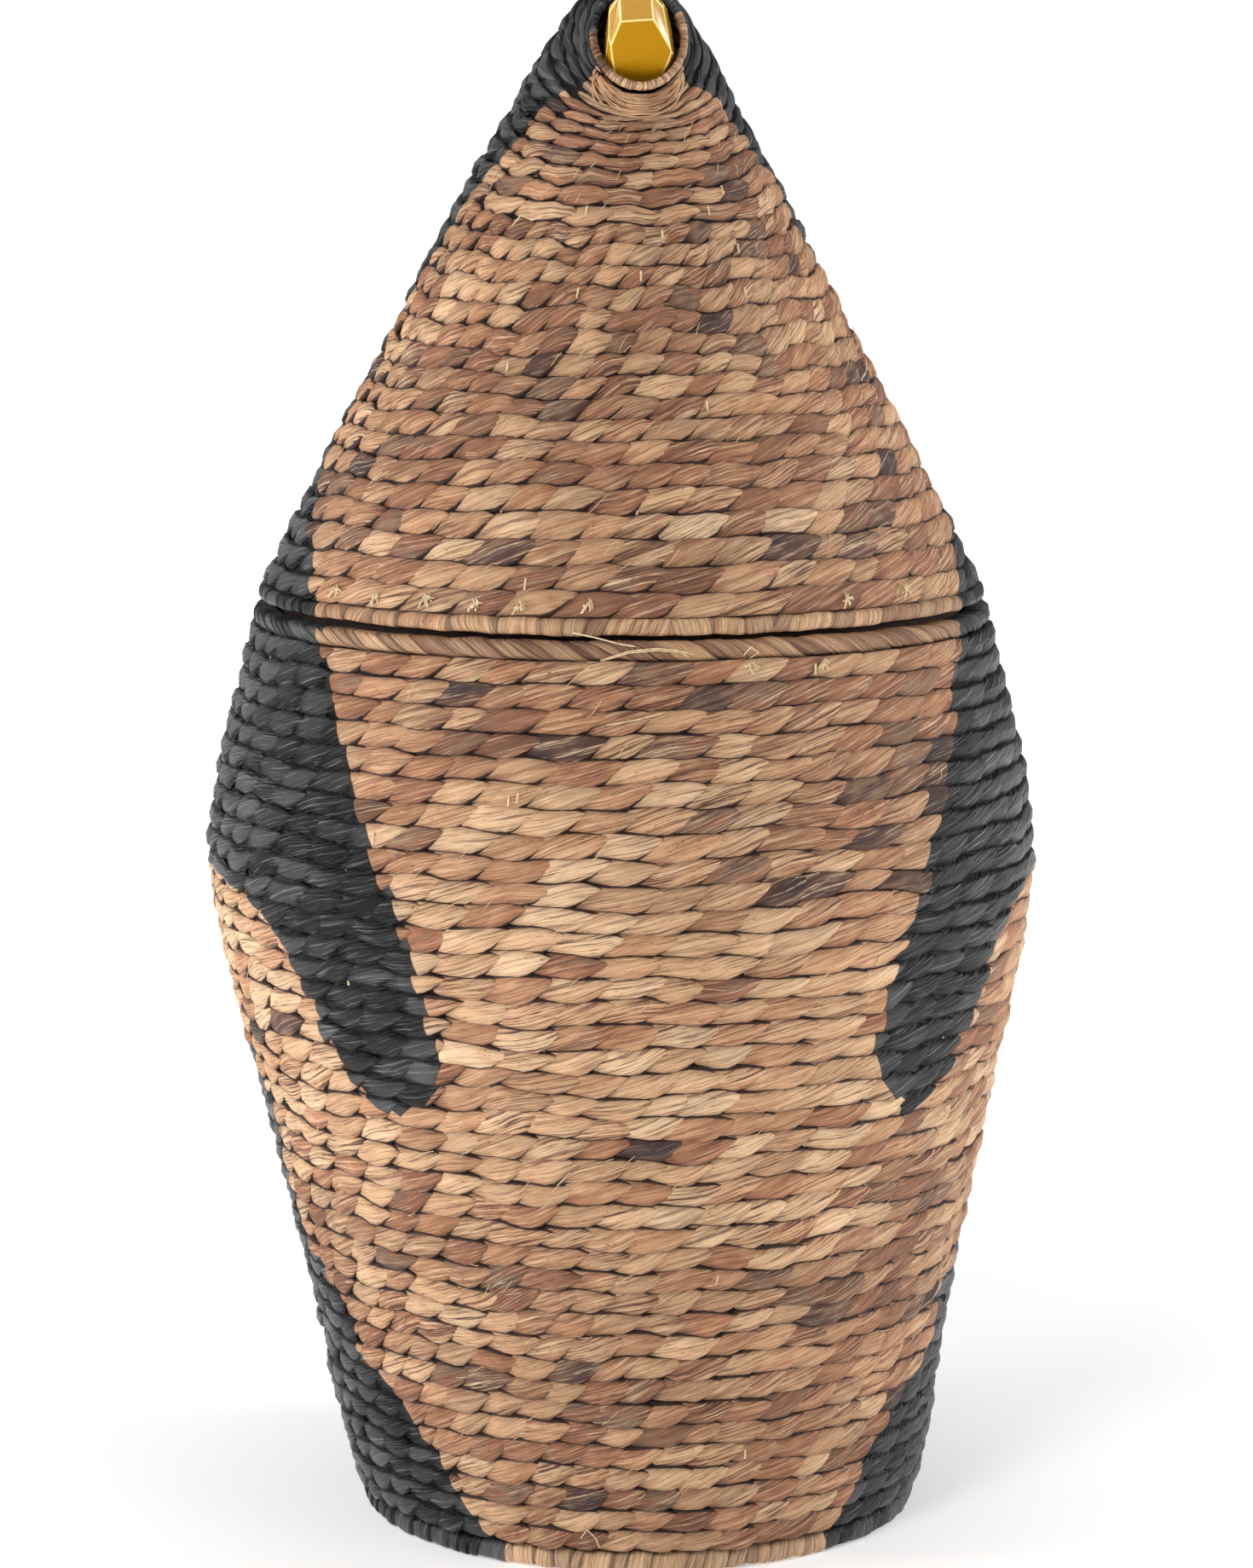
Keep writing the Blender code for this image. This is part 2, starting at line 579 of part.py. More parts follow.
def make_beak_mounting():
    """The bar across the inside of the head, and the screw through it into the beak."""
    behind = BEAK_SHANK + SEAT_GAP + BAR_THICKNESS
    corners = [
        beak_frame(-BEAK_SHANK - SEAT_GAP - back) @ Vector((0, up, 0))
        for back in (0, BAR_THICKNESS)
        for up in (-BAR_HEIGHT / 2, BAR_HEIGHT / 2)
    ]
    reach = min(inside_half_width(c) for c in corners) - BAR_END_GAP
    bm = bmesh.new()
    bmesh.ops.create_cube(bm, size=1)
    bmesh.ops.scale(bm, verts=bm.verts, vec=(2 * reach, BAR_HEIGHT, BAR_THICKNESS))
    bmesh.ops.translate(bm, verts=bm.verts, vec=(0, 0, BAR_THICKNESS / 2))
    bar = finish_mesh(bm, "beak_crossbar", BARE_WOOD)
    bar.matrix_world = beak_frame(-behind)
    hole = screw_hole("crossbar_hole", BAR_THICKNESS + CUT_OVERRUN)
    hole.matrix_world = beak_frame(-behind - CUT_OVERRUN)
    cut_away(bar, hole)

    head_back = SEAT_GAP + SCREW_HEAD_HEIGHT
    tip = head_back + BAR_THICKNESS + SCREW_BITE
    bm = bmesh.new()
    outline = [
        (0, 0),
        (SCREW_HEAD_RADIUS, 0),
        (SCREW_HEAD_RADIUS, SCREW_HEAD_HEIGHT),
        (SCREW_RADIUS, SCREW_HEAD_HEIGHT),
        (SCREW_RADIUS, tip - SCREW_RADIUS),
        (0, tip),
    ]
    verts = [bm.verts.new((r, 0, z)) for r, z in outline]
    edges = [bm.edges.new(pair) for pair in zip(verts, verts[1:])]
    bmesh.ops.spin(
        bm,
        geom=verts + edges,
        cent=(0, 0, 0),
        axis=(0, 0, 1),
        angle=math.tau,
        steps=SCREW_STEPS,
        use_merge=True,
    )
    bmesh.ops.remove_doubles(bm, verts=bm.verts, dist=SEAT_GAP / 100)
    screw = finish_mesh(bm, "beak_screw", ZINC)
    screw.matrix_world = beak_frame(-behind - head_back)


def main():
    clear_scene()
    make_foot()
    make_body_weave()
    make_body_frame()
    make_rims()
    make_collar()
    make_lid_weave()
    make_lid_frame()
    make_head_rim()
    make_beak()
    make_beak_mounting()


main()
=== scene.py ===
"""Looks of the twined storage basket: strands, wrapped rims, paint, lacquer and a plain studio."""

from __future__ import annotations

import json
import logging
import math
from dataclasses import dataclass
from enum import Enum
from typing import Callable, Iterator, Sequence

import bmesh
import bpy
import numpy as np
from mathutils import Matrix, Vector

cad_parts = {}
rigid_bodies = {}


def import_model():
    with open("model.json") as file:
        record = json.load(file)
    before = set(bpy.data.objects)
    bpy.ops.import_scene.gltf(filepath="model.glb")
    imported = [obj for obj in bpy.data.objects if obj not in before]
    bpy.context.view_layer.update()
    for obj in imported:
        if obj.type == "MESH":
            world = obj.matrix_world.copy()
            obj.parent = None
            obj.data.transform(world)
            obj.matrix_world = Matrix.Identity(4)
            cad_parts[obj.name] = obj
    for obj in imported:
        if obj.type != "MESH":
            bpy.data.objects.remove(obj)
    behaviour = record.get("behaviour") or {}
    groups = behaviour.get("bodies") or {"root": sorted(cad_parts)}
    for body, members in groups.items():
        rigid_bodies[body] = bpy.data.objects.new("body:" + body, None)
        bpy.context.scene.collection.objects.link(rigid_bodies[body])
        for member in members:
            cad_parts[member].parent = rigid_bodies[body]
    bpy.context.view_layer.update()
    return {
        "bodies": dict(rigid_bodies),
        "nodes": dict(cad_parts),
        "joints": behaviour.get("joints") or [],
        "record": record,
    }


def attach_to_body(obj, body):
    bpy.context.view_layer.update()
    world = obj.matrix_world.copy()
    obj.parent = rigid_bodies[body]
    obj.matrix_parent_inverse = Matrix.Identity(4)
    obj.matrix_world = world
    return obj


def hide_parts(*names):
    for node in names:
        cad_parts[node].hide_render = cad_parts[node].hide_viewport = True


LOG = logging.getLogger("basket")
Array = np.ndarray
Triple = tuple[float, float, float]
Pairs = tuple[tuple[float, float], ...]
Stops = Sequence[tuple[float, Triple]]
Socket = bpy.types.NodeSocket
Effects = bpy.types.NodeTree
Finish = bpy.types.Material
Object = bpy.types.Object
Curve = bpy.types.Curve
Mesh = bpy.types.Mesh
Shape = bmesh.types.BMesh

FULL_WALL = 0.008  # metres, where the weave is not thinned
COURSE_HEIGHT = 0.0105  # metres from one course to the next
COLUMN_WIDTH = 0.022  # metres along one visible turn
PATTERNS = 40  # how far apart the fibre patterns of two leaves can lie
CURL_RADIUS, STUB_RADIUS, HAIR_RADIUS = 0.00035, 0.0005, 0.00013


# Curves and noise that the forms share


@dataclass(frozen=True)
class SmoothTable:
    """A smooth curve through a table of values that never overshoots them."""

    at: tuple[float, ...]
    values: tuple[float, ...]

    def __call__(self, x: Array | float) -> Array:
        """Reads the curve.

        Args:
            x: Where to read it, any shape.

        Returns:
            The values there, in the same shape.
        """
        xs, ys = np.array(self.at, float), np.array(self.values, float)
        steps = np.diff(ys) / np.diff(xs)
        slopes = np.concatenate([steps[:1], np.zeros(len(steps) - 1), steps[-1:]])
        for i in range(1, len(steps)):
            before, after = steps[i - 1], steps[i]
            if before * after > 0:
                slopes[i] = 2 * before * after / (before + after)
        x = np.asarray(x, float)
        i = np.clip(np.searchsorted(xs, x) - 1, 0, len(steps) - 1)
        width = xs[i + 1] - xs[i]
        t = (x - xs[i]) / width
        bend = (slopes[i] * (1 - t) - slopes[i + 1] * t) * width + steps[i] * width * (2 * t - 1)
        return ys[i] * (1 - t) + ys[i + 1] * t + t * (1 - t) * bend


def hashed(*keys: Array | float) -> Array:
    """Even random numbers from 0 to 1, the same for the same keys."""
    total = sum(np.asarray(k, float) * w for k, w in zip(keys, (12.9898, 78.233, 37.719, 9.151)))
    return np.modf(np.abs(np.sin(total + 0.5) * 43758.5453))[0]


def ripple(turn: Array, waves: float, level: Array | float = 0.0, key: float = 0.0) -> Array:
    """Smooth noise round a ring that meets itself.

    Args:
        turn: Angle round the ring.
        waves: About how many waves go round.
        level: Shifts the pattern bit by bit, once per unit or so.
        key: Picks another pattern.

    Returns:
        Numbers of about -1 to 1.
    """
    total = 0.0
    for number in range(5):
        count = max(1, round(waves * (0.5 + 0.27 * number)))
        drift = (hashed(key, number, 2.0) - 0.5) * 4
        total = total + np.sin(count * turn + hashed(key, number, 1.0) * math.tau + level * drift)
    return total / 2.4


def smoothstep(low: float, high: float, x: Array) -> Array:
    """An eased ramp from 0 at low to 1 at high."""
    t = np.clip((np.asarray(x, float) - low) / (high - low), 0, 1)
    return t * t * (3 - 2 * t)


# Paint: where the black coat lies, by course and angle from the front


@dataclass(frozen=True)
class Coat:
    """Edges of the black coat on one wall, in degrees from the front for each course.

    Beyond the back edge everything is black. Between the front and the rear edge of a wing it is
    black too.
    """

    back: Pairs
    wing_front: Pairs = ()
    wing_rear: Pairs = ()
    metres_per_degree: float = 0.0029
    tip_reach: float = 0.3
    tip_slope: float = 4.0

    def depth(self, turn: Array, course: Array) -> Array:
        """How far inside the coat a place lies.

        Args:
            turn: Angle from the front.
            course: Course above the lower rim.

        Returns:
            Metres inside the coat, negative outside it.
        """
        angle = np.degrees(np.abs(np.mod(turn + math.pi, math.tau) - math.pi))

        def edge(table: Pairs) -> Array:
            """An edge's angle at the courses."""
            return np.interp(course, [p[0] for p in table], [p[1] for p in table])

        inside = angle - edge(self.back)
        if self.wing_front:
            wing = np.minimum(angle - edge(self.wing_front), edge(self.wing_rear) - angle)
            low = self.wing_front[0][0]
            wing = np.minimum(wing, (np.asarray(course) - low + self.tip_reach) * self.tip_slope)
            inside = np.maximum(inside, wing)
        return inside * self.metres_per_degree


BODY_COAT = Coat(
    back=(
        (0, 35.5), (0.6, 38), (1.5, 39.8), (2.1, 41.8), (3.1, 43), (3.9, 44), (4.1, 48.5), (5.4, 50.5), (6, 54),
        (6.8, 59), (7.4, 63.8), (8.8, 64.5), (9.8, 66), (10.2, 70), (11, 71.5), (11.4, 76), (12.1, 79), (15, 80),
        (17.6, 78), (18.8, 78), (19.6, 81), (21, 90), (23, 101), (25, 111), (27, 119), (28.6, 124), (39, 125),
    ),
    wing_front=(
        (19.3, 40), (20, 37), (21, 34), (22, 32.5), (23.3, 32.6), (24.6, 33.2), (26, 34.2), (27.4, 35.8),
        (28.7, 37.3), (30, 39.6), (31.5, 42), (32.5, 43.6), (34, 46), (35.5, 48.8), (37.4, 52.6), (39, 57),
    ),
    wing_rear=(
        (19.3, 41), (19.9, 45.5), (20.8, 49.2), (22, 52), (23.5, 54), (25, 56), (26.5, 59), (27.5, 64),
        (28.2, 71), (28.6, 84), (28.8, 130), (30, 180), (39, 180),
    ),
)
LID_COAT = Coat(
    back=(
        (0, 61), (0.6, 64), (1.75, 68.3), (2.8, 76), (4.2, 79), (5.5, 87), (7.3, 91), (9, 94), (11, 95), (13, 90),
        (14.5, 84), (15.1, 82), (16.5, 79), (18, 78), (19.5, 70), (20.75, 67), (21.8, 66), (23.2, 62), (25.1, 57),
        (26.1, 52), (28, 55), (29.5, 60), (30, 62),
    ),
)


# Forms: the same outlines as the solids


@dataclass(frozen=True)
class Form:
    """A surface of courses of strands. A place on it is an angle from the front and a course."""

    courses: int
    columns: tuple[int, ...]
    coat: Coat | None = None
    thickness: float = FULL_WALL

    def wall(self, course: Array) -> Array:
        """Thickness of the weave at some courses."""
        return np.full_like(np.asarray(course, float), self.thickness)

    def thinning(self, course: Array) -> Array:
        """How flat the strands are at some courses, 1 where the weave is full."""
        return np.minimum(1, self.wall(course) / FULL_WALL)

    def slant(self, turn: Array, course: Array) -> Array:
        """How much the strands' turns lean, from 0 to 1."""
        return np.ones_like(np.asarray(course, float))

    def place(self, turn: Array, course: Array, out: Array) -> Array:
        """Points on or near the surface.

        Args:
            turn: Angle from the front, towards +X.
            course: Courses above the lower rim, or out from the middle of the floor.
            out: Metres outwards, or upwards from the floor.

        Returns:
            Points, with x, y and z last.
        """
        raise NotImplementedError


@dataclass(frozen=True)
class WallForm(Form):
    """The basket's wall, from the foot up."""

    courses: int = 39
    columns: tuple[int, ...] = (50,) * 39
    coat: Coat | None = BODY_COAT
    thickness: float = 0.009
    low: float = 0.0103
    high: float = 0.4052
    belly: float = 0.300
    foot_radius: float = 0.1282
    belly_radius: float = 0.1862
    rim_radius: float = 0.1655
    lean: float = 0.0078
    lean_power: float = 1.3
    rise: SmoothTable = SmoothTable(
        (0, 0.07, 0.17, 0.31, 0.48, 0.655, 0.83, 0.94, 1), (0, 0.09, 0.185, 0.3, 0.48, 0.675, 0.87, 0.97, 1)
    )
    fall: SmoothTable = SmoothTable((0, 0.12, 0.38, 0.71, 0.94, 1), (0, 0.05, 0.25, 0.65, 0.93, 1))

    def radius(self, height: Array) -> Array:
        """Outside radius of the wall at some heights.

        Args:
            height: Heights above the floor.

        Returns:
            The radii.
        """
        height = np.asarray(height, float)
        rising = self.rise(np.clip((height - self.low) / (self.belly - self.low), 0, 1))
        falling = self.fall(np.clip((height - self.belly) / (self.high - self.belly), 0, 1))
        low = self.foot_radius + (self.belly_radius - self.foot_radius) * rising
        high = self.belly_radius - (self.belly_radius - self.rim_radius) * falling
        return np.where(height < self.belly, low, high)

    def shift(self, height: Array) -> Array:
        """How far the wall's middle is set to the side at some heights."""
        left = np.clip(1 - np.asarray(height, float) / self.belly, 0, None)
        return self.lean * left**self.lean_power

    def outline(self) -> tuple[Array, Array, Array]:
        """The wall's outline, eased a little at the belly.

        Returns:
            Course, radius and height along it.
        """
        height = np.linspace(self.low, self.high, 400)
        kernel = np.hanning(25)
        padded = np.pad(self.radius(height), 12, mode="reflect", reflect_type="odd")
        radius = np.convolve(padded, kernel / kernel.sum(), "valid")
        arc = np.concatenate([[0], np.cumsum(np.hypot(np.diff(radius), np.diff(height)))])
        return arc / arc[-1] * self.courses, radius, height

    def place(self, turn: Array, course: Array, out: Array) -> Array:
        """Points on or near the wall.

        Args:
            turn: Angle from the front, towards +X.
            course: Courses above the lower rim.
            out: Metres outwards.

        Returns:
            Points, with x, y and z last.
        """
        course_at, radius_at, height_at = self.outline()
        rise = np.gradient(height_at, course_at)
        spread = np.gradient(radius_at, course_at)
        length = np.hypot(rise, spread)
        turn, course, out = np.broadcast_arrays(turn, course, out)
        radius = np.interp(course, course_at, radius_at) + out * np.interp(course, course_at, rise / length)
        height = np.interp(course, course_at, height_at) - out * np.interp(course, course_at, spread / length)
        return np.stack([self.shift(height) + radius * np.sin(turn), -radius * np.cos(turn), height], axis=-1)


@dataclass(frozen=True)
class LidForm(Form):
    """The lid's cone and head, from its rim up. The weave thins towards the head's opening."""

    courses: int = 30
    columns: tuple[int, ...] = (44,) * 17 + (22,) * 7 + (14,) * 6
    coat: Coat | None = LID_COAT
    thinner: float = 0.0045
    thin_from: float = 0.7
    base: float = 0.4225
    base_radius: float = 0.1604
    neck_front: tuple[float, float] = (-0.04623, 0.63748)
    neck_back: tuple[float, float] = (-0.02743, 0.68399)
    neck_width: float = 0.0215
    head_shift: float = 0.0035
    at: tuple[float, ...] = (0, 0.2, 0.367, 0.5, 0.6, 0.7, 0.8, 0.9, 1)
    front_in: tuple[float, ...] = (0, 0.282, 0.5, 0.675, 0.795, 0.9, 0.958, 0.985, 1)
    front_up: tuple[float, ...] = (0, 0.288, 0.493, 0.666, 0.78, 0.88, 0.945, 0.975, 1)
    back_in: tuple[float, ...] = (0, 0.152, 0.29, 0.382, 0.465, 0.56, 0.675, 0.823, 1)
    back_up: tuple[float, ...] = (0, 0.236, 0.4415, 0.6065, 0.7255, 0.839, 0.939, 1.02, 1)
    side_in: tuple[float, ...] = (0, 0.2245, 0.414, 0.564, 0.6676, 0.778, 0.862, 0.96, 1)

    def surface(self, turn: Array, share: Array) -> Array:
        """Points on the lid's outside, by angle and share of the way up to the head's opening.

        Args:
            turn: Angle from the front.
            share: Share of the way up to the head's opening.

        Returns:
            Points, with x, y and z last.
        """

        def run(table: tuple[float, ...], low: float, high: float) -> Array:
            """One measure of the outline at the shares."""
            return low + (high - low) * SmoothTable(self.at, table)(share)

        front_y = run(self.front_in, -self.base_radius, self.neck_front[0])
        front_z = run(self.front_up, self.base, self.neck_front[1])
        back_y = run(self.back_in, self.base_radius, self.neck_back[0])
        back_z = run(self.back_up, self.base, self.neck_back[1])
        half = run(self.side_in, self.base_radius, self.neck_width)
        across = (1 - np.cos(turn)) / 2
        return np.stack(
            [
                self.head_shift * share**2 + half * np.sin(turn),
                front_y + (back_y - front_y) * across,
                front_z + (back_z - front_z) * across,
            ],
            axis=-1,
        )

    def wall(self, course: Array) -> Array:
        """Thickness of the weave at some courses."""
        share = np.asarray(course, float) / self.courses
        return self.thickness - self.thinner * np.clip((share - self.thin_from) / (1 - self.thin_from), 0, 1)

    def slant(self, turn: Array, course: Array) -> Array:
        """How much the strands' turns lean, least at the front below the head.

        Args:
            turn: Angle from the front.
            course: Course above the lower rim.

        Returns:
            The lean, from 0 to 1.
        """
        angle = np.abs(np.mod(turn + math.pi, math.tau) - math.pi)
        front = 1 - smoothstep(math.radians(35), math.radians(75), angle)
        return 1 - 0.85 * smoothstep(14.5, 18, course) * front

    def place(self, turn: Array, course: Array, out: Array) -> Array:
        """Points on or near the lid.

        Args:
            turn: Angle from the front, towards +X.
            course: Courses above the lower rim.
            out: Metres outwards.

        Returns:
            Points, with x, y and z last.
        """
        turn, course, out = np.broadcast_arrays(turn, course, out)
        share = course / self.courses
        step = 1e-3
        around = self.surface(turn + step, share) - self.surface(turn - step, share)
        up = self.surface(turn, share + step) - self.surface(turn, share - step)
        normal = np.cross(around, up)
        normal /= np.linalg.norm(normal, axis=-1, keepdims=True)
        return self.surface(turn, share) + normal * out[..., None]


@dataclass(frozen=True)
class MatForm(Form):
    """The woven floor, from its middle outwards."""

    courses: int = 11
    columns: tuple[int, ...] = (4, 6, 9, 12, 16, 19, 22, 25, 28, 31, 34)
    thickness: float = 0.007
    reach: float = 0.1164
    side: float = 0.0078
    top: float = 0.0125

    def place(self, turn: Array, course: Array, out: Array) -> Array:
        """Points on or near the floor's upper side.

        Args:
            turn: Angle from the front, towards +X.
            course: Courses out from the middle.
            out: Metres upwards.

        Returns:
            Points, with x, y and z last.
        """
        turn, course, out = np.broadcast_arrays(turn, course, out)
        radius = course / self.courses * self.reach
        return np.stack([self.side - radius * np.sin(turn), -radius * np.cos(turn), self.top + out], axis=-1)


@dataclass(frozen=True)
class RingPath:
    """The path of a round or oval ring. It faces up, or forwards where it has a smaller pitch."""

    half_width: float
    half_height: float
    centre: Triple
    pitch: float = math.pi / 2

    def girth(self) -> float:
        """About how long the path is."""
        return math.pi * (self.half_width + self.half_height)

    def place(self, turn: Array, out: Array, up: Array) -> Array:
        """Points by the path.

        Args:
            turn: Angle from the front, or from the lowest place of a tilted ring.
            out: Metres outwards.
            up: Metres the way the ring faces.

        Returns:
            Points, with x, y and z last.
        """
        face = np.array((0, -math.cos(self.pitch), math.sin(self.pitch)))
        rise = np.array((0, math.sin(self.pitch), math.cos(self.pitch)))
        toward = np.stack([self.half_height * np.sin(turn), -self.half_width * np.cos(turn)], axis=-1)
        toward /= np.linalg.norm(toward, axis=-1, keepdims=True)
        x = self.half_width * np.sin(turn) + toward[..., 0] * out
        y = -self.half_height * np.cos(turn) + toward[..., 1] * out
        point = np.array(self.centre) + y[..., None] * rise + up[..., None] * face
        point[..., 0] += x
        return point


RIM_PATH = RingPath(0.1592, 0.1592, (0, 0, 0.4086))


# Finishes


def srgb(red: float, green: float, blue: float) -> tuple[float, float, float, float]:
    """A linear colour from 0-255 display values.

    Args:
        red: Display red, from 0 to 255.
        green: Display green.
        blue: Display blue.

    Returns:
        The colour, with full alpha.
    """

    def linear(value: float) -> float:
        """One display value made linear."""
        value /= 255
        return value / 12.92 if value <= 0.04045 else ((value + 0.055) / 1.055) ** 2.4

    return linear(red), linear(green), linear(blue), 1.0


class Graph:
    """A small builder for one material's nodes."""

    def __init__(self, name: str) -> None:
        """Starts a material with a plain shader.

        Args:
            name: The material's name.
        """
        self.material = bpy.data.materials.new(name)
        self.material.use_nodes = True
        self.tree = self.material.node_tree
        self.shader = self.tree.nodes["Principled BSDF"]

    def node(self, kind: str, inputs: dict | None = None, **settings: object) -> bpy.types.Node:
        """Adds a node.

        Args:
            kind: The node's type, without its prefix.
            inputs: Values or sockets, by input name or number.
            **settings: The node's own settings.

        Returns:
            The node.
        """
        made = self.tree.nodes.new("ShaderNode" + kind)
        for key, value in settings.items():
            setattr(made, key, value)
        for key, value in (inputs or {}).items():
            self.feed(made.inputs[key], value)
        return made

    def feed(self, socket: Socket, value: object) -> None:
        """Links a socket into an input, or sets its value.

        Args:
            socket: The input.
            value: A socket or a plain value.
        """
        if isinstance(value, Socket):
            self.tree.links.new(value, socket)
        else:
            socket.default_value = value

    def set(self, **inputs: object) -> None:
        """Sets the shader's inputs, with underscores for spaces."""
        for key, value in inputs.items():
            self.feed(self.shader.inputs[key.replace("_", " ")], value)

    def math(self, operation: str, *values: object, clamp: bool = False) -> Socket:
        """A sum, product or other operation on numbers."""
        return self.node("Math", dict(enumerate(values)), operation=operation, use_clamp=clamp).outputs[0]

    def product(self, one: object, other: object) -> Socket:
        """Two numbers multiplied."""
        return self.math("MULTIPLY", one, other)

    def scaled(self, vector: Socket, scale: object) -> Socket:
        """A vector stretched along each axis."""
        return self.node("VectorMath", {0: vector, 1: scale}, operation="MULTIPLY").outputs[0]

    def noise(self, vector: Socket, scale: float = 1, detail: float = 2, roughness: float = 0.5) -> Socket:
        """Noise from 0 to 1."""
        inputs = {"Vector": vector, "Scale": scale, "Detail": detail, "Roughness": roughness}
        return self.node("TexNoise", inputs).outputs["Fac"]

    def fade(self, value: Socket, low: float, high: float) -> Socket:
        """A ramp from 0 to 1 between two values, either way round."""
        inputs = {"Value": value, "From Min": low, "From Max": high}
        return self.node("MapRange", inputs, interpolation_type="SMOOTHSTEP").outputs["Result"]

    def remap(self, value: Socket, low: float, high: float, to_low: float, to_high: float) -> Socket:
        """A value carried from one range to another."""
        inputs = {"Value": value, "From Min": low, "From Max": high, "To Min": to_low, "To Max": to_high}
        return self.node("MapRange", inputs).outputs["Result"]

    def mix(self, share: object, one: object, other: object, blend: str = "MIX") -> Socket:
        """Two colours mixed.

        Args:
            share: How much of the second colour, from 0 to 1.
            one: The first colour.
            other: The second colour.
            blend: How they are mixed.

        Returns:
            The colour.
        """
        made = self.node("Mix", data_type="RGBA", blend_type=blend)
        for number, value in ((0, share), (6, one), (7, other)):
            self.feed(made.inputs[number], value)
        return made.outputs[2]

    def stain(self, base: object, colour: Triple, mask: Socket, strength: float = 1.0) -> Socket:
        """A colour with another display colour laid over it.

        Args:
            base: The colour below.
            colour: The display colour laid over it.
            mask: Where it is laid, from 0 to 1.
            strength: How strong it is where the mask is 1.

        Returns:
            The colour.
        """
        return self.mix(self.product(mask, strength), base, srgb(*colour))

    def ramp(self, value: Socket, stops: Stops) -> Socket:
        """A colour picked from a row of display colours.

        Args:
            value: Where to pick, from 0 to 1.
            stops: Places and display colours of the row.

        Returns:
            The colour.
        """
        made = self.node("ValToRGB", {"Fac": value})
        elements = made.color_ramp.elements
        for place, colour in stops[1:-1]:
            elements.new(place)
        for element, (place, colour) in zip(elements, stops):
            element.position = place
            element.color = srgb(*colour)
        return made.outputs["Color"]

    def attribute(self, name: str) -> bpy.types.Node:
        """Reads an attribute of the piece."""
        return self.node("Attribute", attribute_name=name)

    def place(self, effect: Effects, **inputs: object) -> dict[str, Socket]:
        """Places a shared effect.

        Args:
            effect: The effect's node group.
            **inputs: Values or sockets, by the group's input names.

        Returns:
            The effect's outputs, by name.
        """
        made = self.node("Group", node_tree=effect)
        for key, value in inputs.items():
            self.feed(made.inputs[key], value)
        return {socket.name: socket for socket in made.outputs}

    def bump(self, height: Socket, distance: float, strength: float = 1.0) -> Socket:
        """A normal bent by a height."""
        return self.node("Bump", {"Height": height, "Distance": distance, "Strength": strength}).outputs[0]


class Effect(Graph):
    """A builder for an effect that several materials share."""

    def __init__(self, name: str, inputs: dict[str, str], outputs: Sequence[str]) -> None:
        """Starts a node group.

        Args:
            name: The group's name.
            inputs: Kind of each input socket, by name.
            outputs: Names of the output masks and heights.
        """
        self.tree = bpy.data.node_groups.new(name, "ShaderNodeTree")
        for label, kind in inputs.items():
            self.tree.interface.new_socket(label, in_out="INPUT", socket_type="NodeSocket" + kind)
        for label in outputs:
            self.tree.interface.new_socket(label, in_out="OUTPUT", socket_type="NodeSocketFloat")
        self.given = self.tree.nodes.new("NodeGroupInput").outputs
        self.results = self.tree.nodes.new("NodeGroupOutput").inputs

    def give(self, **outputs: Socket) -> Effects:
        """Links the results.

        Args:
            **outputs: Sockets, by the names of the outputs.

        Returns:
            The finished group.
        """
        for key, value in outputs.items():
            self.feed(self.results[key], value)
        return self.tree


def plant_fibre() -> Effects:
    """Fibres, streaks and specks along a strand, made the first time they are asked for.

    Returns:
        The effect's node group.
    """
    name = "plant fibre"
    if name in bpy.data.node_groups:
        return bpy.data.node_groups[name]
    results = ("Shade", "Drawn", "Patch", "Line", "Gleam", "Spots", "Height")
    g = Effect(name, {"Strand": "Vector", "Streaks": "Float"}, results)
    strand, streaks = g.given["Strand"], g.given["Streaks"]
    fine = g.noise(g.scaled(strand, (90, 2400, 1)), detail=3, roughness=0.6)
    fibre = g.noise(g.scaled(strand, (22, 800, 1)), detail=3)
    patch = g.noise(g.scaled(strand, (60, 150, 1)), detail=3)
    speck = g.noise(g.scaled(strand, (420, 1400, 1)), detail=1)
    shade = g.product(g.remap(fibre, 0.25, 0.75, 0.78, 1.18), g.remap(fine, 0.25, 0.75, 0.7, 1.22))
    drawn = g.math("ADD", g.product(fine, 0.5), g.product(fibre, 0.5))
    return g.give(
        Shade=shade,
        Drawn=drawn,
        Patch=patch,
        Line=g.product(g.fade(drawn, 0.49, 0.41), g.remap(streaks, 0, 1, 0.2, 1)),
        # Pale streaks along the fibres, which the finishes also use as a painted highlight.
        Gleam=g.product(g.fade(drawn, 0.53, 0.61), g.remap(streaks, 0, 1, 0.2, 0.85)),
        Spots=g.product(g.fade(speck, 0.66, 0.74), g.fade(patch, 0.44, 0.62)),
        Height=g.math("MULTIPLY_ADD", fine, 0.4, fibre),
    )


def fine_grain() -> Effects:
    """Grain and wear of a plain stuff, made the first time they are asked for.

    Returns:
        The effect's node group.
    """
    name = "fine grain"
    if name in bpy.data.node_groups:
        return bpy.data.node_groups[name]
    g = Effect(name, {"Place": "Vector", "Stretch": "Vector", "Scale": "Float"}, ("Grain", "Wear"))
    grain = g.noise(g.scaled(g.given["Place"], g.given["Stretch"]), scale=g.given["Scale"], detail=4)
    return g.give(Grain=grain, Wear=g.noise(g.given["Place"], scale=60, detail=2))


STRAND_COLOURS = (
    (0.0, (238, 200, 160)),
    (0.2, (222, 178, 136)),
    (0.4, (204, 154, 114)),
    (0.55, (182, 126, 90)),
    (0.7, (156, 102, 72)),
    (0.8, (148, 116, 90)),
    (0.9, (104, 72, 60)),
    (1.0, (58, 42, 42)),
)
STRAW_COLOURS = (
    (0.0, (214, 174, 136)),
    (0.35, (200, 157, 118)),
    (0.65, (184, 139, 103)),
    (0.85, (150, 106, 78)),
    (1.0, (96, 66, 52)),
)
# Black paint along the fibres: near-black in the grooves, grey on the ridges as a painted highlight.
PAINT_AND_RIDGE_HIGHLIGHT_COLOURS = ((0.4, (4, 4, 5)), (0.49, (17, 17, 18)), (0.56, (58, 59, 61)), (0.63, (150, 151, 154)))


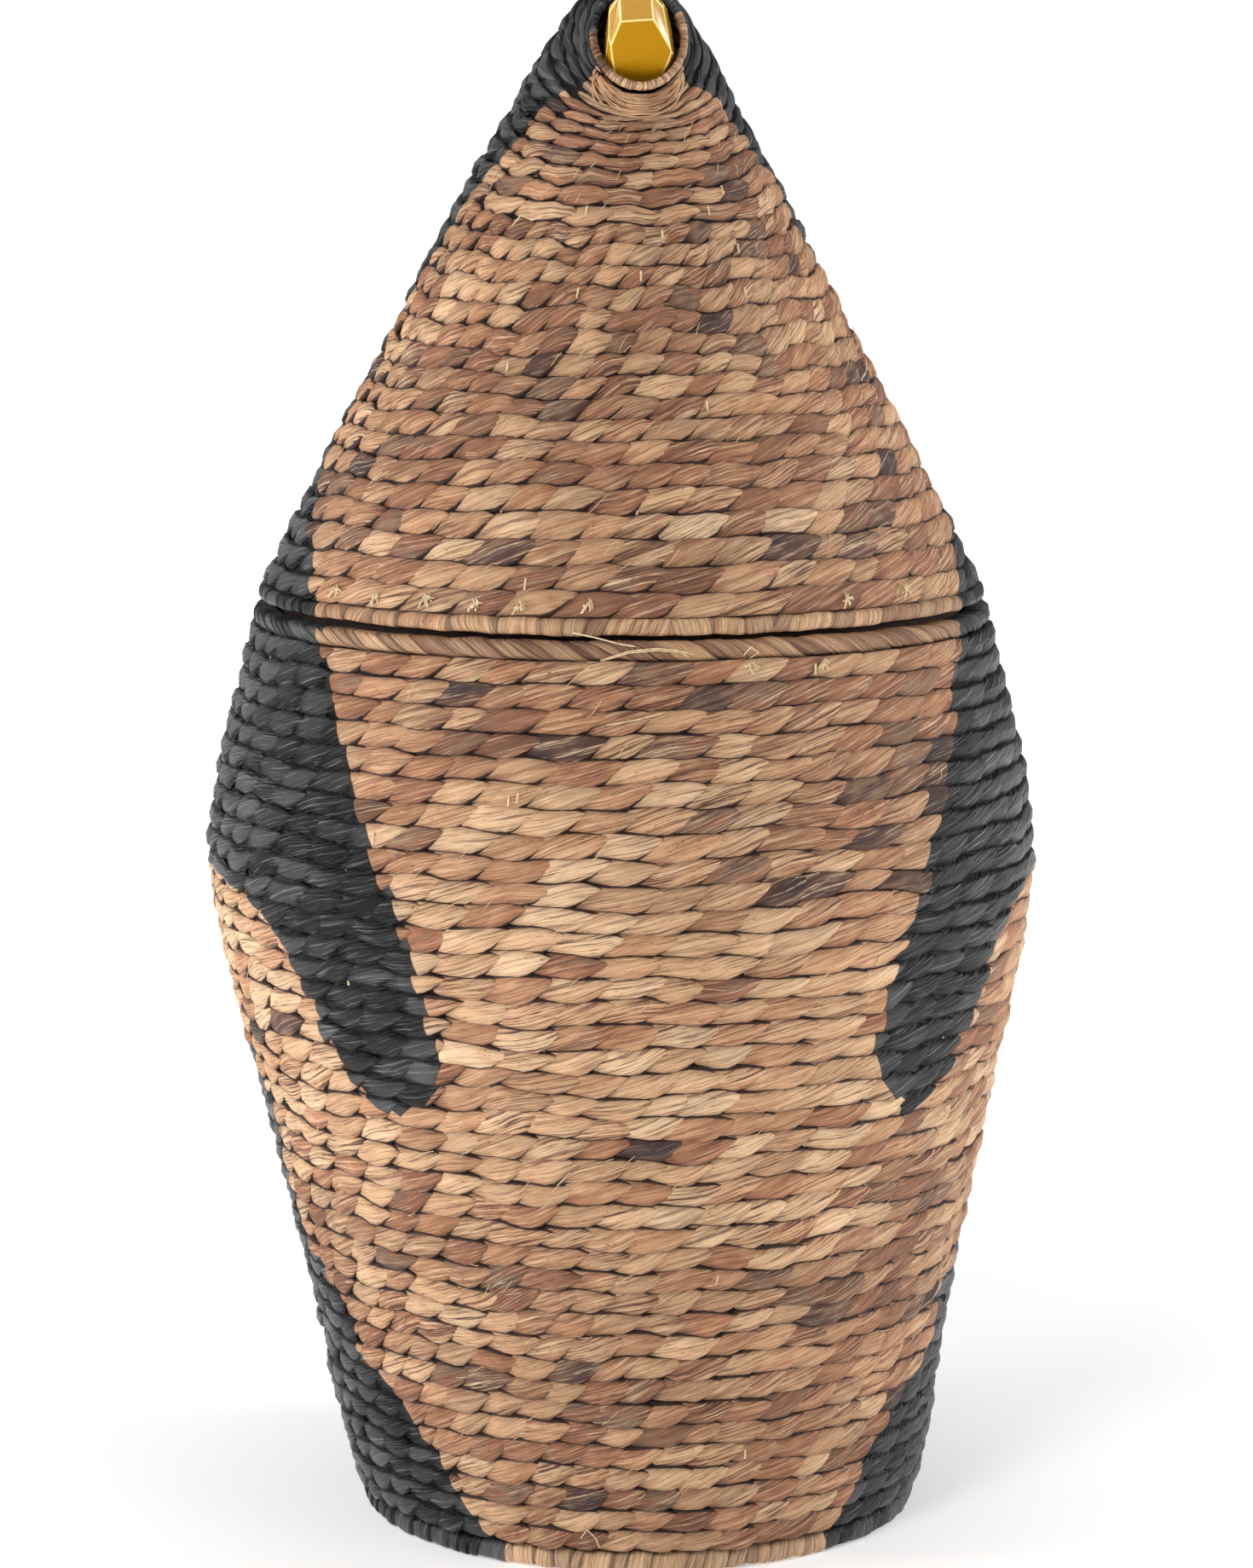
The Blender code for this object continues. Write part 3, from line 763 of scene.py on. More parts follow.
@dataclass(frozen=True)
class StrandFinish:
    """Dried plant strand, bare or under a black coat that is a little ragged at its edges."""

    name: str
    colours: Stops = STRAND_COLOURS
    roughness: float = 0.66
    painted_roughness: float = 0.34
    ragged: float = 0.0006
    relief: float = 1.6
    painted_relief: float = 6.0

    def make(self) -> Finish:
        """Makes the material.

        Returns:
            The material.
        """
        g = Graph(self.name)
        tone = g.attribute("tone").outputs
        pick, light, edge = g.node("SeparateColor", {0: tone["Color"]}).outputs
        plant = g.place(plant_fibre(), Strand=g.attribute("strand").outputs["Vector"], Streaks=tone["Alpha"])
        rim = g.math("ABSOLUTE", g.math("MULTIPLY_ADD", edge, 2.0, -1.0))

        colour = g.ramp(g.math("ADD", pick, g.remap(plant["Patch"], 0.3, 0.7, -0.13, 0.13), clamp=True), self.colours)
        # The brightness channel brings random and regional tone, and painted shade where a leaf comes out from under
        # the one before.
        shade = g.product(g.remap(light, 0, 1, 0.66, 1.16), plant["Shade"])
        colour = g.mix(1.0, colour, g.node("CombineColor", {0: shade, 1: shade, 2: shade}).outputs[0], "MULTIPLY")
        colour = g.stain(colour, (90, 52, 38), plant["Line"])
        # Pale fibre streaks, partly a painted highlight.
        colour = g.stain(colour, (238, 206, 168), plant["Gleam"])
        colour = g.stain(colour, (70, 44, 34), plant["Spots"], 0.75)
        # Painted shade: darker towards each leaf's edges and near-black at its rim, where leaves meet in crevices.
        colour = g.stain(colour, (92, 56, 42), g.fade(rim, 0.4, 0.8), 0.28)
        colour = g.stain(colour, (48, 26, 20), g.fade(rim, 0.76, 0.84), 0.97)

        paint = g.ramp(plant["Drawn"], PAINT_AND_RIDGE_HIGHLIGHT_COLOURS)
        # Painted sheen where the coat's brightness is high, painted highlights on the fibres, painted shade where the
        # brightness is low and at the leaves' rims.
        paint = g.stain(paint, (122, 123, 126), g.fade(light, 0.5, 1.0), 0.62)
        paint = g.stain(paint, (196, 197, 200), plant["Gleam"], 0.5)
        paint = g.stain(paint, (4, 4, 5), g.math("SUBTRACT", 1.0, g.remap(light, 0, 1, 0.4, 1.0)))
        paint = g.stain(paint, (3, 3, 4), g.fade(rim, 0.5, 0.78), 0.95)

        edge_noise = g.remap(plant["Drawn"], 0.25, 0.75, -self.ragged, self.ragged)
        inside = g.math("ADD", g.attribute("coat").outputs["Fac"], edge_noise)
        painted = g.fade(inside, -self.ragged / 2, self.ragged / 2)
        height = g.product(plant["Height"], g.remap(painted, 0, 1, self.relief, self.painted_relief))
        g.set(
            Base_Color=g.mix(painted, colour, paint),
            Roughness=g.remap(painted, 0, 1, self.roughness, self.painted_roughness),
            Specular_IOR_Level=0.5,
            Normal=g.bump(height, 0.0012),
        )
        return g.material


@dataclass(frozen=True)
class StuffFinish:
    """A plain stuff with a grain: wood, cane, wire or felt-like fill."""

    name: str
    dark: Triple
    pale: Triple
    roughness: float = 0.6
    metallic: float = 0.0
    stretch: Triple = (1, 1, 1)
    scale: float = 300
    relief: float = 0.0002

    def make(self) -> Finish:
        """Makes the material.

        Returns:
            The material.
        """
        g = Graph(self.name)
        place = g.node("TexCoord").outputs["Object"]
        worn = g.place(fine_grain(), Place=place, Stretch=self.stretch, Scale=self.scale)
        g.set(
            Base_Color=g.ramp(worn["Grain"], ((0.32, self.dark), (0.68, self.pale))),
            Roughness=g.remap(worn["Wear"], 0.3, 0.7, self.roughness - 0.08, self.roughness + 0.08),
            Metallic=self.metallic,
            Normal=g.bump(worn["Grain"], self.relief, 0.6),
        )
        return g.material


class Stuff(Enum):
    """Every finish of the object."""

    STRAND = StrandFinish("natural and black strand")
    WRAPPING = StrandFinish("wrapping strand", STRAW_COLOURS, 0.6)
    # Near-black core that stands as painted shade in the gaps between the leaves.
    FILL = StuffFinish("strand core in painted shade", (9, 7, 6), (22, 15, 12), 0.95, scale=400)
    STAKE = StuffFinish("pale stake", (206, 176, 130), (238, 218, 178), 0.7, scale=500)
    FIBRE = StuffFinish("fine plant fibre", (150, 108, 78), (206, 164, 124), 0.65, scale=70)
    WIRE = StuffFinish("dark frame wire", (40, 38, 36), (78, 74, 70), 0.5, 0.9, scale=250)
    CANE = StuffFinish("split cane", (38, 26, 20), (72, 50, 36), 0.6, stretch=(1, 1, 6), scale=140)
    LACQUER = StuffFinish("yellow lacquer", (174, 126, 14), (186, 136, 18), 0.14, scale=30, relief=0.00005)
    # Pale lacquer on the beak's rounded edges, a painted highlight.
    EDGE = StuffFinish("pale edge highlight on the lacquer", (232, 204, 110), (246, 228, 160), 0.25, scale=60, relief=0.0001)
    WOOD = StuffFinish("bare wood", (160, 120, 78), (208, 170, 120), 0.7, stretch=(0.1, 1, 1), scale=400)
    ZINC = StuffFinish("zinc plated steel", (150, 150, 148), (196, 196, 192), 0.35, 1.0, scale=500)

    def finish(self) -> Finish:
        """The finish's material, made the first time it is asked for."""
        return bpy.data.materials.get(self.value.name) or self.value.make()


# Pieces


def linked(name: str, data: bpy.types.ID) -> Object:
    """A new object in the scene.

    Args:
        name: Its name.
        data: Its shape, camera or light.

    Returns:
        The object.
    """
    made = bpy.data.objects.new(name, data)
    bpy.context.scene.collection.objects.link(made)
    return made


@dataclass
class Piece:
    """One visible piece and where it belongs."""

    name: str
    body: str
    nodes: tuple[str, ...]
    slot: str
    stuff: Stuff

    def settle(self, data: Mesh | Curve) -> Object:
        """Puts the piece's shape into the scene, on its body.

        Args:
            data: The shape, in the row frame.

        Returns:
            The piece.
        """
        data.materials.append(self.stuff.finish())
        made = linked(self.name, data)
        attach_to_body(made, self.body)
        if self.nodes:
            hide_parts(*self.nodes)
        return made


def attach(mesh: Mesh, name: str, values: Array) -> None:
    """Stores an attribute of one value, vector or colour for each vertex.

    Args:
        mesh: The mesh.
        name: The attribute's name.
        values: A value, vector or colour for each vertex.
    """
    kind, item = {1: ("FLOAT", "value"), 3: ("FLOAT_VECTOR", "vector"), 4: ("FLOAT_COLOR", "color")}[
        values.shape[-1] if values.ndim > 1 else 1
    ]
    made = mesh.attributes.new(name, kind, "POINT")
    made.data.foreach_set(item, np.ascontiguousarray(values, np.float32).reshape(-1))


def finished(bm: Shape, name: str) -> Mesh:
    """A smooth mesh whose faces point outwards.

    Args:
        bm: The shape, which is freed.
        name: The mesh's name.

    Returns:
        The mesh.
    """
    bmesh.ops.recalc_face_normals(bm, faces=bm.faces)
    if bm.calc_volume(signed=True) < 0:
        bmesh.ops.reverse_faces(bm, faces=bm.faces)
    mesh = bpy.data.meshes.new(name)
    bm.to_mesh(mesh)
    bm.free()
    mesh.shade_smooth()
    return mesh


def coordinates(mesh: Mesh) -> Array:
    """The mesh's vertices as rows of x, y and z.

    Args:
        mesh: The mesh.

    Returns:
        Rows of x, y and z.
    """
    values = np.zeros(len(mesh.vertices) * 3)
    mesh.vertices.foreach_get("co", values)
    return values.reshape(-1, 3)


def spun(bm: Shape, steps: int) -> None:
    """Turns everything in a shape once round Z.

    Args:
        bm: The shape.
        steps: How many steps a whole turn has.
    """
    bmesh.ops.spin(
        bm, geom=bm.verts[:] + bm.edges[:], cent=(0, 0, 0), axis=(0, 0, 1), angle=math.tau, steps=steps, use_merge=True
    )


@dataclass(frozen=True)
class LeafBlank:
    """The blank of one visible turn of a strand: a closed spindle, later shaped in its place."""

    along: int = 8
    section: Pairs = (
        (0.0, -1.0), (0.98, -0.6), (1.0, 0.15), (0.68, 0.78), (0.0, 1.0), (-0.68, 0.78), (-1.0, 0.15), (-0.98, -0.6)
    )

    def mesh(self) -> Mesh:
        """The spindle, its poles at its two ends.

        Returns:
            Its mesh.
        """
        bm = bmesh.new()
        bmesh.ops.create_uvsphere(bm, u_segments=len(self.section), v_segments=self.along, radius=1)
        return finished(bm, "leaf_blank")

    def read(self, mesh: Mesh) -> tuple[Array, Array, Array]:
        """Where each vertex of the blank lies: along, across and out, each from -1 to 1.

        Args:
            mesh: The spindle's mesh.

        Returns:
            Along, across and out, each from -1 to 1.
        """
        co = coordinates(mesh)
        angle = np.mod(np.arctan2(co[:, 1], co[:, 0]), math.tau)
        count = len(self.section)
        index = np.round(angle / math.tau * count).astype(int) % count
        section = np.array(self.section)[index]
        pole = np.hypot(co[:, 0], co[:, 1]) < 1e-5
        along = np.arccos(np.clip(co[:, 2], -1, 1)) / math.pi * 2 - 1
        return along, np.where(pole, 0, section[:, 0]), np.where(pole, 0, section[:, 1])


FACE_BLANK = LeafBlank()
LINING_BLANK = LeafBlank(6, ((0.0, -1.0), (1.0, -0.3), (0.7, 0.8), (0.0, 1.0), (-0.7, 0.8), (-1.0, -0.3)))


@dataclass
class Strands(Piece):
    """Twisted strands of a woven wall: one leaf for each visible turn."""

    form: Form
    first: int
    last: int
    inside: bool = False
    blank: LeafBlank = FACE_BLANK
    tint: Callable[[Array, Array], tuple[Array, Array]] | None = None
    marked: tuple[Triple, ...] = ()
    tuck: float = 1.04
    lean: float = 0.3
    bulge: float = 0.13
    relief: float = 0.0035
    tilt: float = 0.0013
    sunk: float = 0.0029
    scatter: float = 0.0012
    painted_sunk: float = 0.0004
    ragged: float = 0.007
    lining_gap: float = 0.0002

    def __post_init__(self) -> None:
        """Lists the course, column and angle of every leaf, and how far it is under the coat."""
        columns = self.form.columns
        rows = [(c, k, columns[c]) for c in range(self.first, self.last) for k in range(columns[c])]
        self.course, self.column, self.columns = np.array(rows, float).T[:, :, None]
        self.centre = (self.column + 0.5) / self.columns * math.tau
        self.key = 50.0 if self.inside else 0.0
        self.coat = None if self.inside else self.form.coat
        self.coated = smoothstep(-0.002, 0.002, self.coat.depth(self.centre, self.course + 0.5)) if self.coat else 0.0

    def pick(self, number: float) -> Array:
        """A random number from 0 to 1 for each leaf."""
        return hashed(self.course + 0.37 * number, self.column + 1.7, number + self.key)

    def blanks(self) -> tuple[Mesh, Array, Array, Array]:
        """A mesh with one blank for each leaf.

        Returns:
            The mesh, and where each vertex of a blank lies: along, across and out.
        """
        blank_mesh = self.blank.mesh()
        places = self.blank.read(blank_mesh)
        bm = bmesh.new()
        for _ in range(len(self.course)):
            bm.from_mesh(blank_mesh)
        mesh = bpy.data.meshes.new(self.name)
        bm.to_mesh(mesh)
        bm.free()
        bpy.data.meshes.remove(blank_mesh)
        return mesh, *places

    def build(self) -> Object:
        """Builds the leaves as one piece.

        Returns:
            The piece.
        """
        mesh, along, across, out = self.blanks()
        c, columns, centre, coated, pick = self.course, self.columns, self.centre, self.coated, self.pick
        slant = self.form.slant(centre, c)
        tip = 0.5 + self.lean * (0.5 + 1.1 * pick(7))
        x = along * np.where(along < 0, self.tuck, tip)
        upper, lower = self.edges(x, slant, tip, pick(1), pick(2))
        middle, half = (upper + lower) / 2, (upper - lower) / 2 * np.clip(1 - np.abs(along) ** 10, 0, 1)
        y = middle + half * across * (1 - 0.1 * coated) + x * (pick(11) - 0.5) * 0.12 + (pick(12) - 0.5) * 0.07

        crown = np.cos(along * math.pi / 2 * np.where(along < 0, 0.97, 0.9)) ** 0.7
        full = self.relief * crown * (0.85 + 0.3 * pick(5) + 0.15 * coated)
        height = (pick(4) - 0.5) * self.scatter - self.sunk - self.painted_sunk * coated
        height = height + x * self.tilt * (0.7 + 0.6 * pick(3)) + full * np.maximum(out, 0)
        height = height + self.scatter * (np.minimum(out, 0) + across * (pick(6) - 0.5))
        height = height * self.form.thinning(c)
        if self.inside:
            height = -self.form.wall(c) + self.lining_gap - height

        odd = np.mod(c, 2) * 0.5 * (1 - slant) + (hashed(c, 77.0, self.key) - 0.5) * 0.9 * slant
        odd = odd + 0.1 * ripple(centre, 6, c * 0.9, 6) * slant
        turn = centre + (-1 if self.inside else 1) * (x + odd) / columns * math.tau
        up = c + 0.5 + y
        sway = 0.14 * ripple(turn, 10, up * 0.5, 3) + 0.06 * ripple(turn, 34, up * 1.3, 4)
        up = up + sway * np.sin(math.pi * np.clip(up / self.form.courses, 0, 1)) ** 0.5
        up = np.clip(up, 0.02, self.form.courses - 0.02)
        mesh.vertices.foreach_set("co", self.form.place(turn, up, height).reshape(-1))

        twist = COLUMN_WIDTH * x * slant * (0.2 + 0.2 * pick(15))
        strand = np.broadcast_arrays(COLUMN_WIDTH * x, COURSE_HEIGHT * y - twist, pick(8) * PATTERNS)
        attach(mesh, "strand", np.stack(strand, axis=-1).reshape(-1, 3))
        attach(mesh, "tone", self.tone(along, across).reshape(-1, 4))
        coat = self.coat.depth(turn, up) + (pick(13) - 0.5) * self.ragged if self.coat else np.full(turn.shape, -1.0)
        attach(mesh, "coat", coat.reshape(-1))
        bm = bmesh.new()
        bm.from_mesh(mesh)
        bmesh.ops.recalc_face_normals(bm, faces=bm.faces)
        bm.to_mesh(mesh)
        bm.free()
        mesh.shade_smooth()
        LOG.info("%s: %d leaves", self.name, len(c))
        return self.settle(mesh)

    def tone(self, along: Array, across: Array) -> Array:
        """What the finish reads of every leaf.

        Args:
            along: Place along the leaf, from -1 to 1.
            across: Place across it, from -1 to 1.

        Returns:
            Colour, brightness, place across and streaks, each from 0 to 1, last.
        """
        c, columns, centre, pick = self.course, self.columns, self.centre, self.pick
        shade, light = self.tint(centre, c) if self.tint else (0.0, 0.0)
        run = np.clip(ripple(centre + 7 * hashed(c, 5.0), 14, c * 1.7, 31) + 0.2, 0, 1)
        colour = np.clip(0.04 + pick(9) ** 1.7 * 0.42 + 0.26 * run + shade + 0.4 * (pick(16) > 0.98), 0, 1)
        for degrees, level, shown in self.marked:
            away = (centre - math.radians(degrees)) * columns / math.tau
            nearest = np.argmin((np.mod(away + columns / 2, columns) - columns / 2) ** 2 + 9 * (c + 0.5 - level) ** 2)
            colour[nearest] = shown
        # Painted shade where a leaf comes out from under the one before.
        start = smoothstep(-0.25, -0.8, along)
        bright = np.clip(0.62 + (pick(10) - 0.5) * 0.6 + light - 0.5 * start, 0, 1)
        # On the coat: random tone, a painted sheen brighter towards the sides, and the same painted shade at the leaf's
        # start.
        painted_sheen_and_shade = np.clip(0.42 + (pick(10) - 0.5) * 0.5 + 0.5 * np.sin(centre) ** 4 - 0.4 * start, 0, 1)
        bright = bright + (painted_sheen_and_shade - bright) * self.coated
        # Place across the leaf, which the finish darkens at the rim as painted shade in the crevices.
        border = np.where(along > 0.97, 1.0, 0.5 + 0.5 * across)
        return np.stack(np.broadcast_arrays(colour, bright, border, pick(14)), axis=-1)

    def edges(self, x: Array, slant: Array, tip: Array, over: Array, under: Array) -> tuple[Array, Array]:
        """Upper and lower edge of a leaf, in courses from its middle.

        Args:
            x: Columns along from the leaf's middle.
            slant: 1 for a leaning turn, 0 for a level lens.
            tip: Columns from the middle to the leaf's free end, which lies over the next leaf.
            over: How full the upper edge is, from 0 to 1.
            under: How full the lower edge is, from 0 to 1.

        Returns:
            Upper and lower edge.
        """
        swell = np.cos(np.clip(np.where(x < 0, x / self.tuck, x / tip), -1, 1) * math.pi / 2)
        rise = np.sin(np.clip((x + self.tuck) / 0.42, 0, 1) * math.pi / 2)
        sink = 0.02 + 0.12 * (1 - over)
        upper = -0.5 + rise - sink * np.clip((x - 0.1) / (tip - 0.1), 0, 1) ** 2
        lower = -0.5 + (1 - sink) * np.clip((x - tip + 0.7) / 0.7, 0, 1) ** (1.2 + 0.5 * under)
        upper, lower = upper + self.bulge * (0.5 + over) * swell, lower - self.bulge * (0.5 + under) * swell
        lens = 0.6 * swell**0.9
        return upper * slant + lens * (1 - slant), lower * slant - lens * (1 - slant)


@dataclass
class Core(Piece):
    """The middle of a woven wall, near-black as painted shade, seen only between the leaves."""

    form: Form
    outer: float = 0.0027
    thickness: float = 0.0024
    steps: int = 96
    rings: int = 60

    def build(self) -> Object:
        """Builds the shell as one closed piece.

        Returns:
            The piece.
        """
        bm = bmesh.new()
        bmesh.ops.create_grid(bm, x_segments=self.rings, y_segments=1, size=1)
        bmesh.ops.delete(bm, geom=bm.faces[:], context="FACES_ONLY")
        ladder = [e for e in bm.edges if abs(e.verts[0].co.x - e.verts[1].co.x) < 1e-6 and abs(e.verts[0].co.x) < 0.999]
        bmesh.ops.delete(bm, geom=ladder, context="EDGES")
        for vert in bm.verts:
            vert.co = (0, -(2 + vert.co.y * 0.1), vert.co.x)
        spun(bm, self.steps)
        mesh = finished(bm, self.name)
        co = coordinates(mesh)
        turn = np.arctan2(co[:, 0], -co[:, 1])
        radius = np.hypot(co[:, 0], co[:, 1])
        course = (0.5 + co[:, 2] / 2) * (self.form.courses - 0.6) + 0.3
        out = np.where(radius > 2, -self.outer, -self.outer - self.thickness) * self.form.thinning(course)
        mesh.vertices.foreach_set("co", self.form.place(turn, course, out).reshape(-1))
        return self.settle(mesh)


@dataclass
class Fibres(Piece):
    """Fine round fibres, made as one curve object."""

    def curve(self, radius: float, resolution: int) -> Curve:
        """An empty curve whose fibres are round and closed.

        Args:
            radius: The radius that a point's own radius of 1 stands for.
            resolution: How round the fibres are.

        Returns:
            The curve.
        """
        curve = bpy.data.curves.new(self.name, "CURVE")
        curve.dimensions = "3D"
        curve.bevel_depth = radius
        curve.bevel_resolution = resolution
        curve.use_fill_caps = True
        return curve

    def draw(self, curve: Curve, points: Array, radius: float = 1.0) -> None:
        """Adds one fibre to a curve, through rows of x, y and z.

        Args:
            curve: The curve.
            points: Rows of x, y and z.
            radius: The fibre's radius, in the curve's own.
        """
        spline = curve.splines.new("POLY")
        spline.points.add(len(points) - 1)
        spline.points.foreach_set("co", np.hstack([points, np.ones((len(points), 1))]).reshape(-1))
        spline.points.foreach_set("radius", np.full(len(points), radius))


@dataclass
class Stakes(Fibres):
    """Thin pale stakes up the wall that the strands are twined round."""

    form: Form
    count: int
    top: float
    radius: float = 0.0009
    middle: float = 0.0043

    def build(self) -> Object:
        """Builds the stakes as one curve object.

        Returns:
            The piece.
        """
        curve = self.curve(self.radius, 1)
        course = np.arange(0.2, self.top, 0.5)
        for number in range(self.count):
            turn = (number + 0.6 + 0.10 * ripple(course * 0.15, 6, 0, number)) / self.count * math.tau
            out = -self.middle + 0.0009 * ripple(course * 0.3, 7, 0, number + 0.5)
            self.draw(curve, self.form.place(turn, course, out * self.form.thinning(course)))
        return self.settle(curve)


Fibre = tuple[Sequence[Triple], float]


@dataclass
class LooseEnds(Fibres):
    """Small knots, stake ends and loose fibres that stand out of the weave.

    Each is laid through points given as degrees from the front, level and millimetres outwards.
    """

    place: Callable[[Array, Array, Array], Array]
    knots: Pairs = ()
    ticks: Pairs = ()
    curls: tuple[tuple[Triple, ...], ...] = ()
    hairs: int = 0
    span: tuple[float, float] = (0.5, 38.5)
    reach: float = math.pi
    fall: float = 0.35
    garlands: int = 0
    coat: Coat | None = None

    def build(self) -> Object:
        """Builds them as one curve object.

        Returns:
            The piece.
        """
        curve = self.curve(1.0, 0)
        curls = ((points, CURL_RADIUS) for points in self.curls)
        for points, radius in (*self.tufts(), *self.stubs(), *curls, *self.arcs(), *self.strays()):
            turn, level, out = np.array(points, float).T
            self.draw(curve, self.place(np.radians(turn), level, out * 0.001), radius)
        return self.settle(curve)

    def spread(self, *keys: float) -> float:
        """A random number from -0.5 to 0.5, the same for the same keys."""
        return float(hashed(*keys)) - 0.5

    def tufts(self) -> Iterator[Fibre]:
        """The ragged fibres of the knots.

        Yields:
            Points and radius of each fibre.
        """
        for degrees, level in self.knots:
            for number in range(6):
                a, b, c = (self.spread(degrees, number, key) for key in (1.0, 2.0, 3.0))
                across = (1.8 * a - 0.4, 1.2 * b, 1.4 * c, 2.2 * b + c)
                up = (0.3 * b - 0.1, 0.3 * a + 0.1, 0.2 * b, 0.5 * c - 0.15)
                points = [(degrees + x, level + y, o) for x, y, o in zip(across, up, (0, 1.3, 1.6, 0.7))]
                yield points, 0.00025 + 0.0006 * abs(a)

    def stubs(self) -> Iterator[Fibre]:
        """The short ends of stakes.

        Yields:
            Points and radius of each fibre.
        """
        for degrees, level in self.ticks:
            lean = self.spread(degrees, 4.0) * 0.3
            yield [(degrees - lean, level - 0.2, 0.2), (degrees + lean, level + 0.22, 0.9)], STUB_RADIUS

    def arcs(self) -> Iterator[Fibre]:
        """The U-shaped fibres that hang below the head's opening.

        Yields:
            Points and radius of each fibre.
        """
        across = np.linspace(-1, 1, 17)
        for number in range(self.garlands):
            drop = (0.1 + 0.34 * number) * (1 - across**2) ** 0.6
            level = 29.5 - drop + 0.14 * ripple(across * 2, 3, 0, number)
            degrees = (51 + 10 * self.spread(number, 7.0)) * across + 3 * ripple(across, 3, 0, number + 40)
            out = 0.35 + 0.5 * ripple(across * 3, 4, 0, number + 80)
            yield list(zip(degrees, level, out)), 0.0005 + 0.0004 * self.spread(number, 6.0)

    def strays(self) -> Iterator[Fibre]:
        """The fine hairs, on bare strand only.

        Yields:
            Points and radius of each fibre.
        """
        for number in range(self.hairs):
            turn = 2 * self.spread(number, 1.0) * self.reach
            level = self.span[0] + (self.span[1] - self.span[0]) * float(hashed(number, 2.0))
            if self.coat and float(self.coat.depth(np.array(turn), np.array(level))) > -0.004:
                continue
            way, bend, size = (self.spread(number, key) for key in (3.0, 4.0, 5.0))
            reach, rise = 2.4 + 2.0 * size, self.fall + 0.9 * way
            shape = ((0, 0, 0), (0.35, 0.3 + 0.4 * bend, 0.7), (0.7, 0.7 + 0.3 * bend, 1.0), (1, 1, 0.6 + size))
            degrees = math.degrees(turn)
            yield [(degrees + reach * a, level + rise * b, 0.1 + 0.9 * o) for a, b, o in shape], HAIR_RADIUS


@dataclass
class Wrapping(Piece):
    """A strand wound round and round a hoop."""

    path: RingPath
    thickness: float
    band: float
    wraps: int
    skew: float = 0.5
    ridge: float = 0.0007
    black_from: tuple[float, float] = (61, 61)
    around: int = 16
    samples: int = 9
    dark: float = 0.0
    dark_left: float = 0.0
    parting: float = 0.0
    sway: float = 0.0003
    metres_per_degree: float = 0.0025

    def build(self) -> Object:
        """Builds the wound ring as one closed piece.

        Returns:
            The piece.
        """
        bm = bmesh.new()
        bmesh.ops.create_circle(bm, segments=self.around, radius=0.1)
        for vert in bm.verts:
            vert.co = (0, -1 - vert.co.x, vert.co.y)
        spun(bm, self.wraps * self.samples)
        mesh = finished(bm, self.name)
        co = coordinates(mesh)
        phase = (np.arctan2(co[:, 0], -co[:, 1]) / math.tau + 0.5) * self.wraps + 1e-4
        around = np.arctan2(co[:, 2], np.hypot(co[:, 0], co[:, 1]) - 1)
        widths = 0.35 + 1.3 * hashed(np.arange(self.wraps), 8.0)
        edges = np.concatenate([[0], np.cumsum(widths)]) / widths.sum() * math.tau - math.pi
        lean = self.skew * np.sin(around) * 0.5 + 0.3 * np.sin(around) * (hashed(np.floor(phase), 12.0) - 0.5)
        turn = np.interp(phase, np.arange(self.wraps + 1), edges) + lean * math.tau / self.wraps
        wrap = np.mod(np.floor(phase), self.wraps)
        share = phase - np.floor(phase)
        swell = 1 - np.abs(share * 2 - 1) ** 4
        lift = self.ridge * (swell - 0.7 + 0.9 * (share - 0.5)) + (hashed(wrap, 3.0) - 0.5) * self.ridge

        def rounded(value: Array) -> Array:
            """Fills out the corners of the section."""
            return np.sign(value) * np.abs(value) ** 0.75

        out = (self.thickness / 2 + lift) * rounded(np.cos(around))
        up = (self.band / 2 + lift * 0.6) * rounded(np.sin(around))
        aside = smoothstep(math.radians(15), math.radians(60), np.abs(turn))
        facing = np.clip(np.sign(self.parting) * np.sin(around), 0, 1)
        up = up * (1 - facing * (0.12 + abs(self.parting) * aside)) + self.sway * ripple(turn, 30, 0, 9)
        mesh.vertices.foreach_set("co", self.path.place(turn, out, up).reshape(-1))
        length = (self.thickness + self.band) * around / math.pi
        pitch = self.path.girth() / self.wraps
        attach(mesh, "strand", np.stack([length, phase * pitch, hashed(wrap, 5.0) * PATTERNS], axis=-1))
        colour = 0.05 + hashed(wrap, 7.0) * 0.6 + self.dark + self.dark_left * smoothstep(-0.6, -0.9, turn)
        # Place across each wrap, which the finish darkens at the wrap's ends as painted shade between the wraps.
        border = 0.5 + 0.405 * np.abs(share * 2 - 1) ** 4
        tone = (np.clip(colour, 0, 1), 0.3 + 0.7 * hashed(wrap, 9.0), border, 0.5 * hashed(wrap, 13.0))
        attach(mesh, "tone", np.stack(tone, axis=-1))
        limit = np.where(turn < 0, self.black_from[0], self.black_from[1]) + (hashed(wrap, 11.0) - 0.5) * 3
        attach(mesh, "coat", (np.degrees(np.abs(turn)) - limit) * self.metres_per_degree)
        return self.settle(mesh)


@dataclass
class PlainRing(Piece):
    """A turned ring with a section given as (radius, height) points."""

    section: Pairs
    steps: int = 96
    bevel: float = 0.0006

    def build(self) -> Object:
        """Builds the ring.

        Returns:
            The piece.
        """
        bm = bmesh.new()
        verts = [bm.verts.new((0, -radius, height)) for radius, height in self.section]
        for pair in zip(verts, verts[1:] + verts[:1]):
            bm.edges.new(pair)
        spun(bm, self.steps)
        sharp = [e for e in bm.edges if len(e.link_faces) == 2 and e.calc_face_angle(0) > 0.6]
        bmesh.ops.bevel(bm, geom=sharp, offset=self.bevel, segments=2, profile=0.5, affect="EDGES", material=-1)
        return self.settle(finished(bm, self.name))


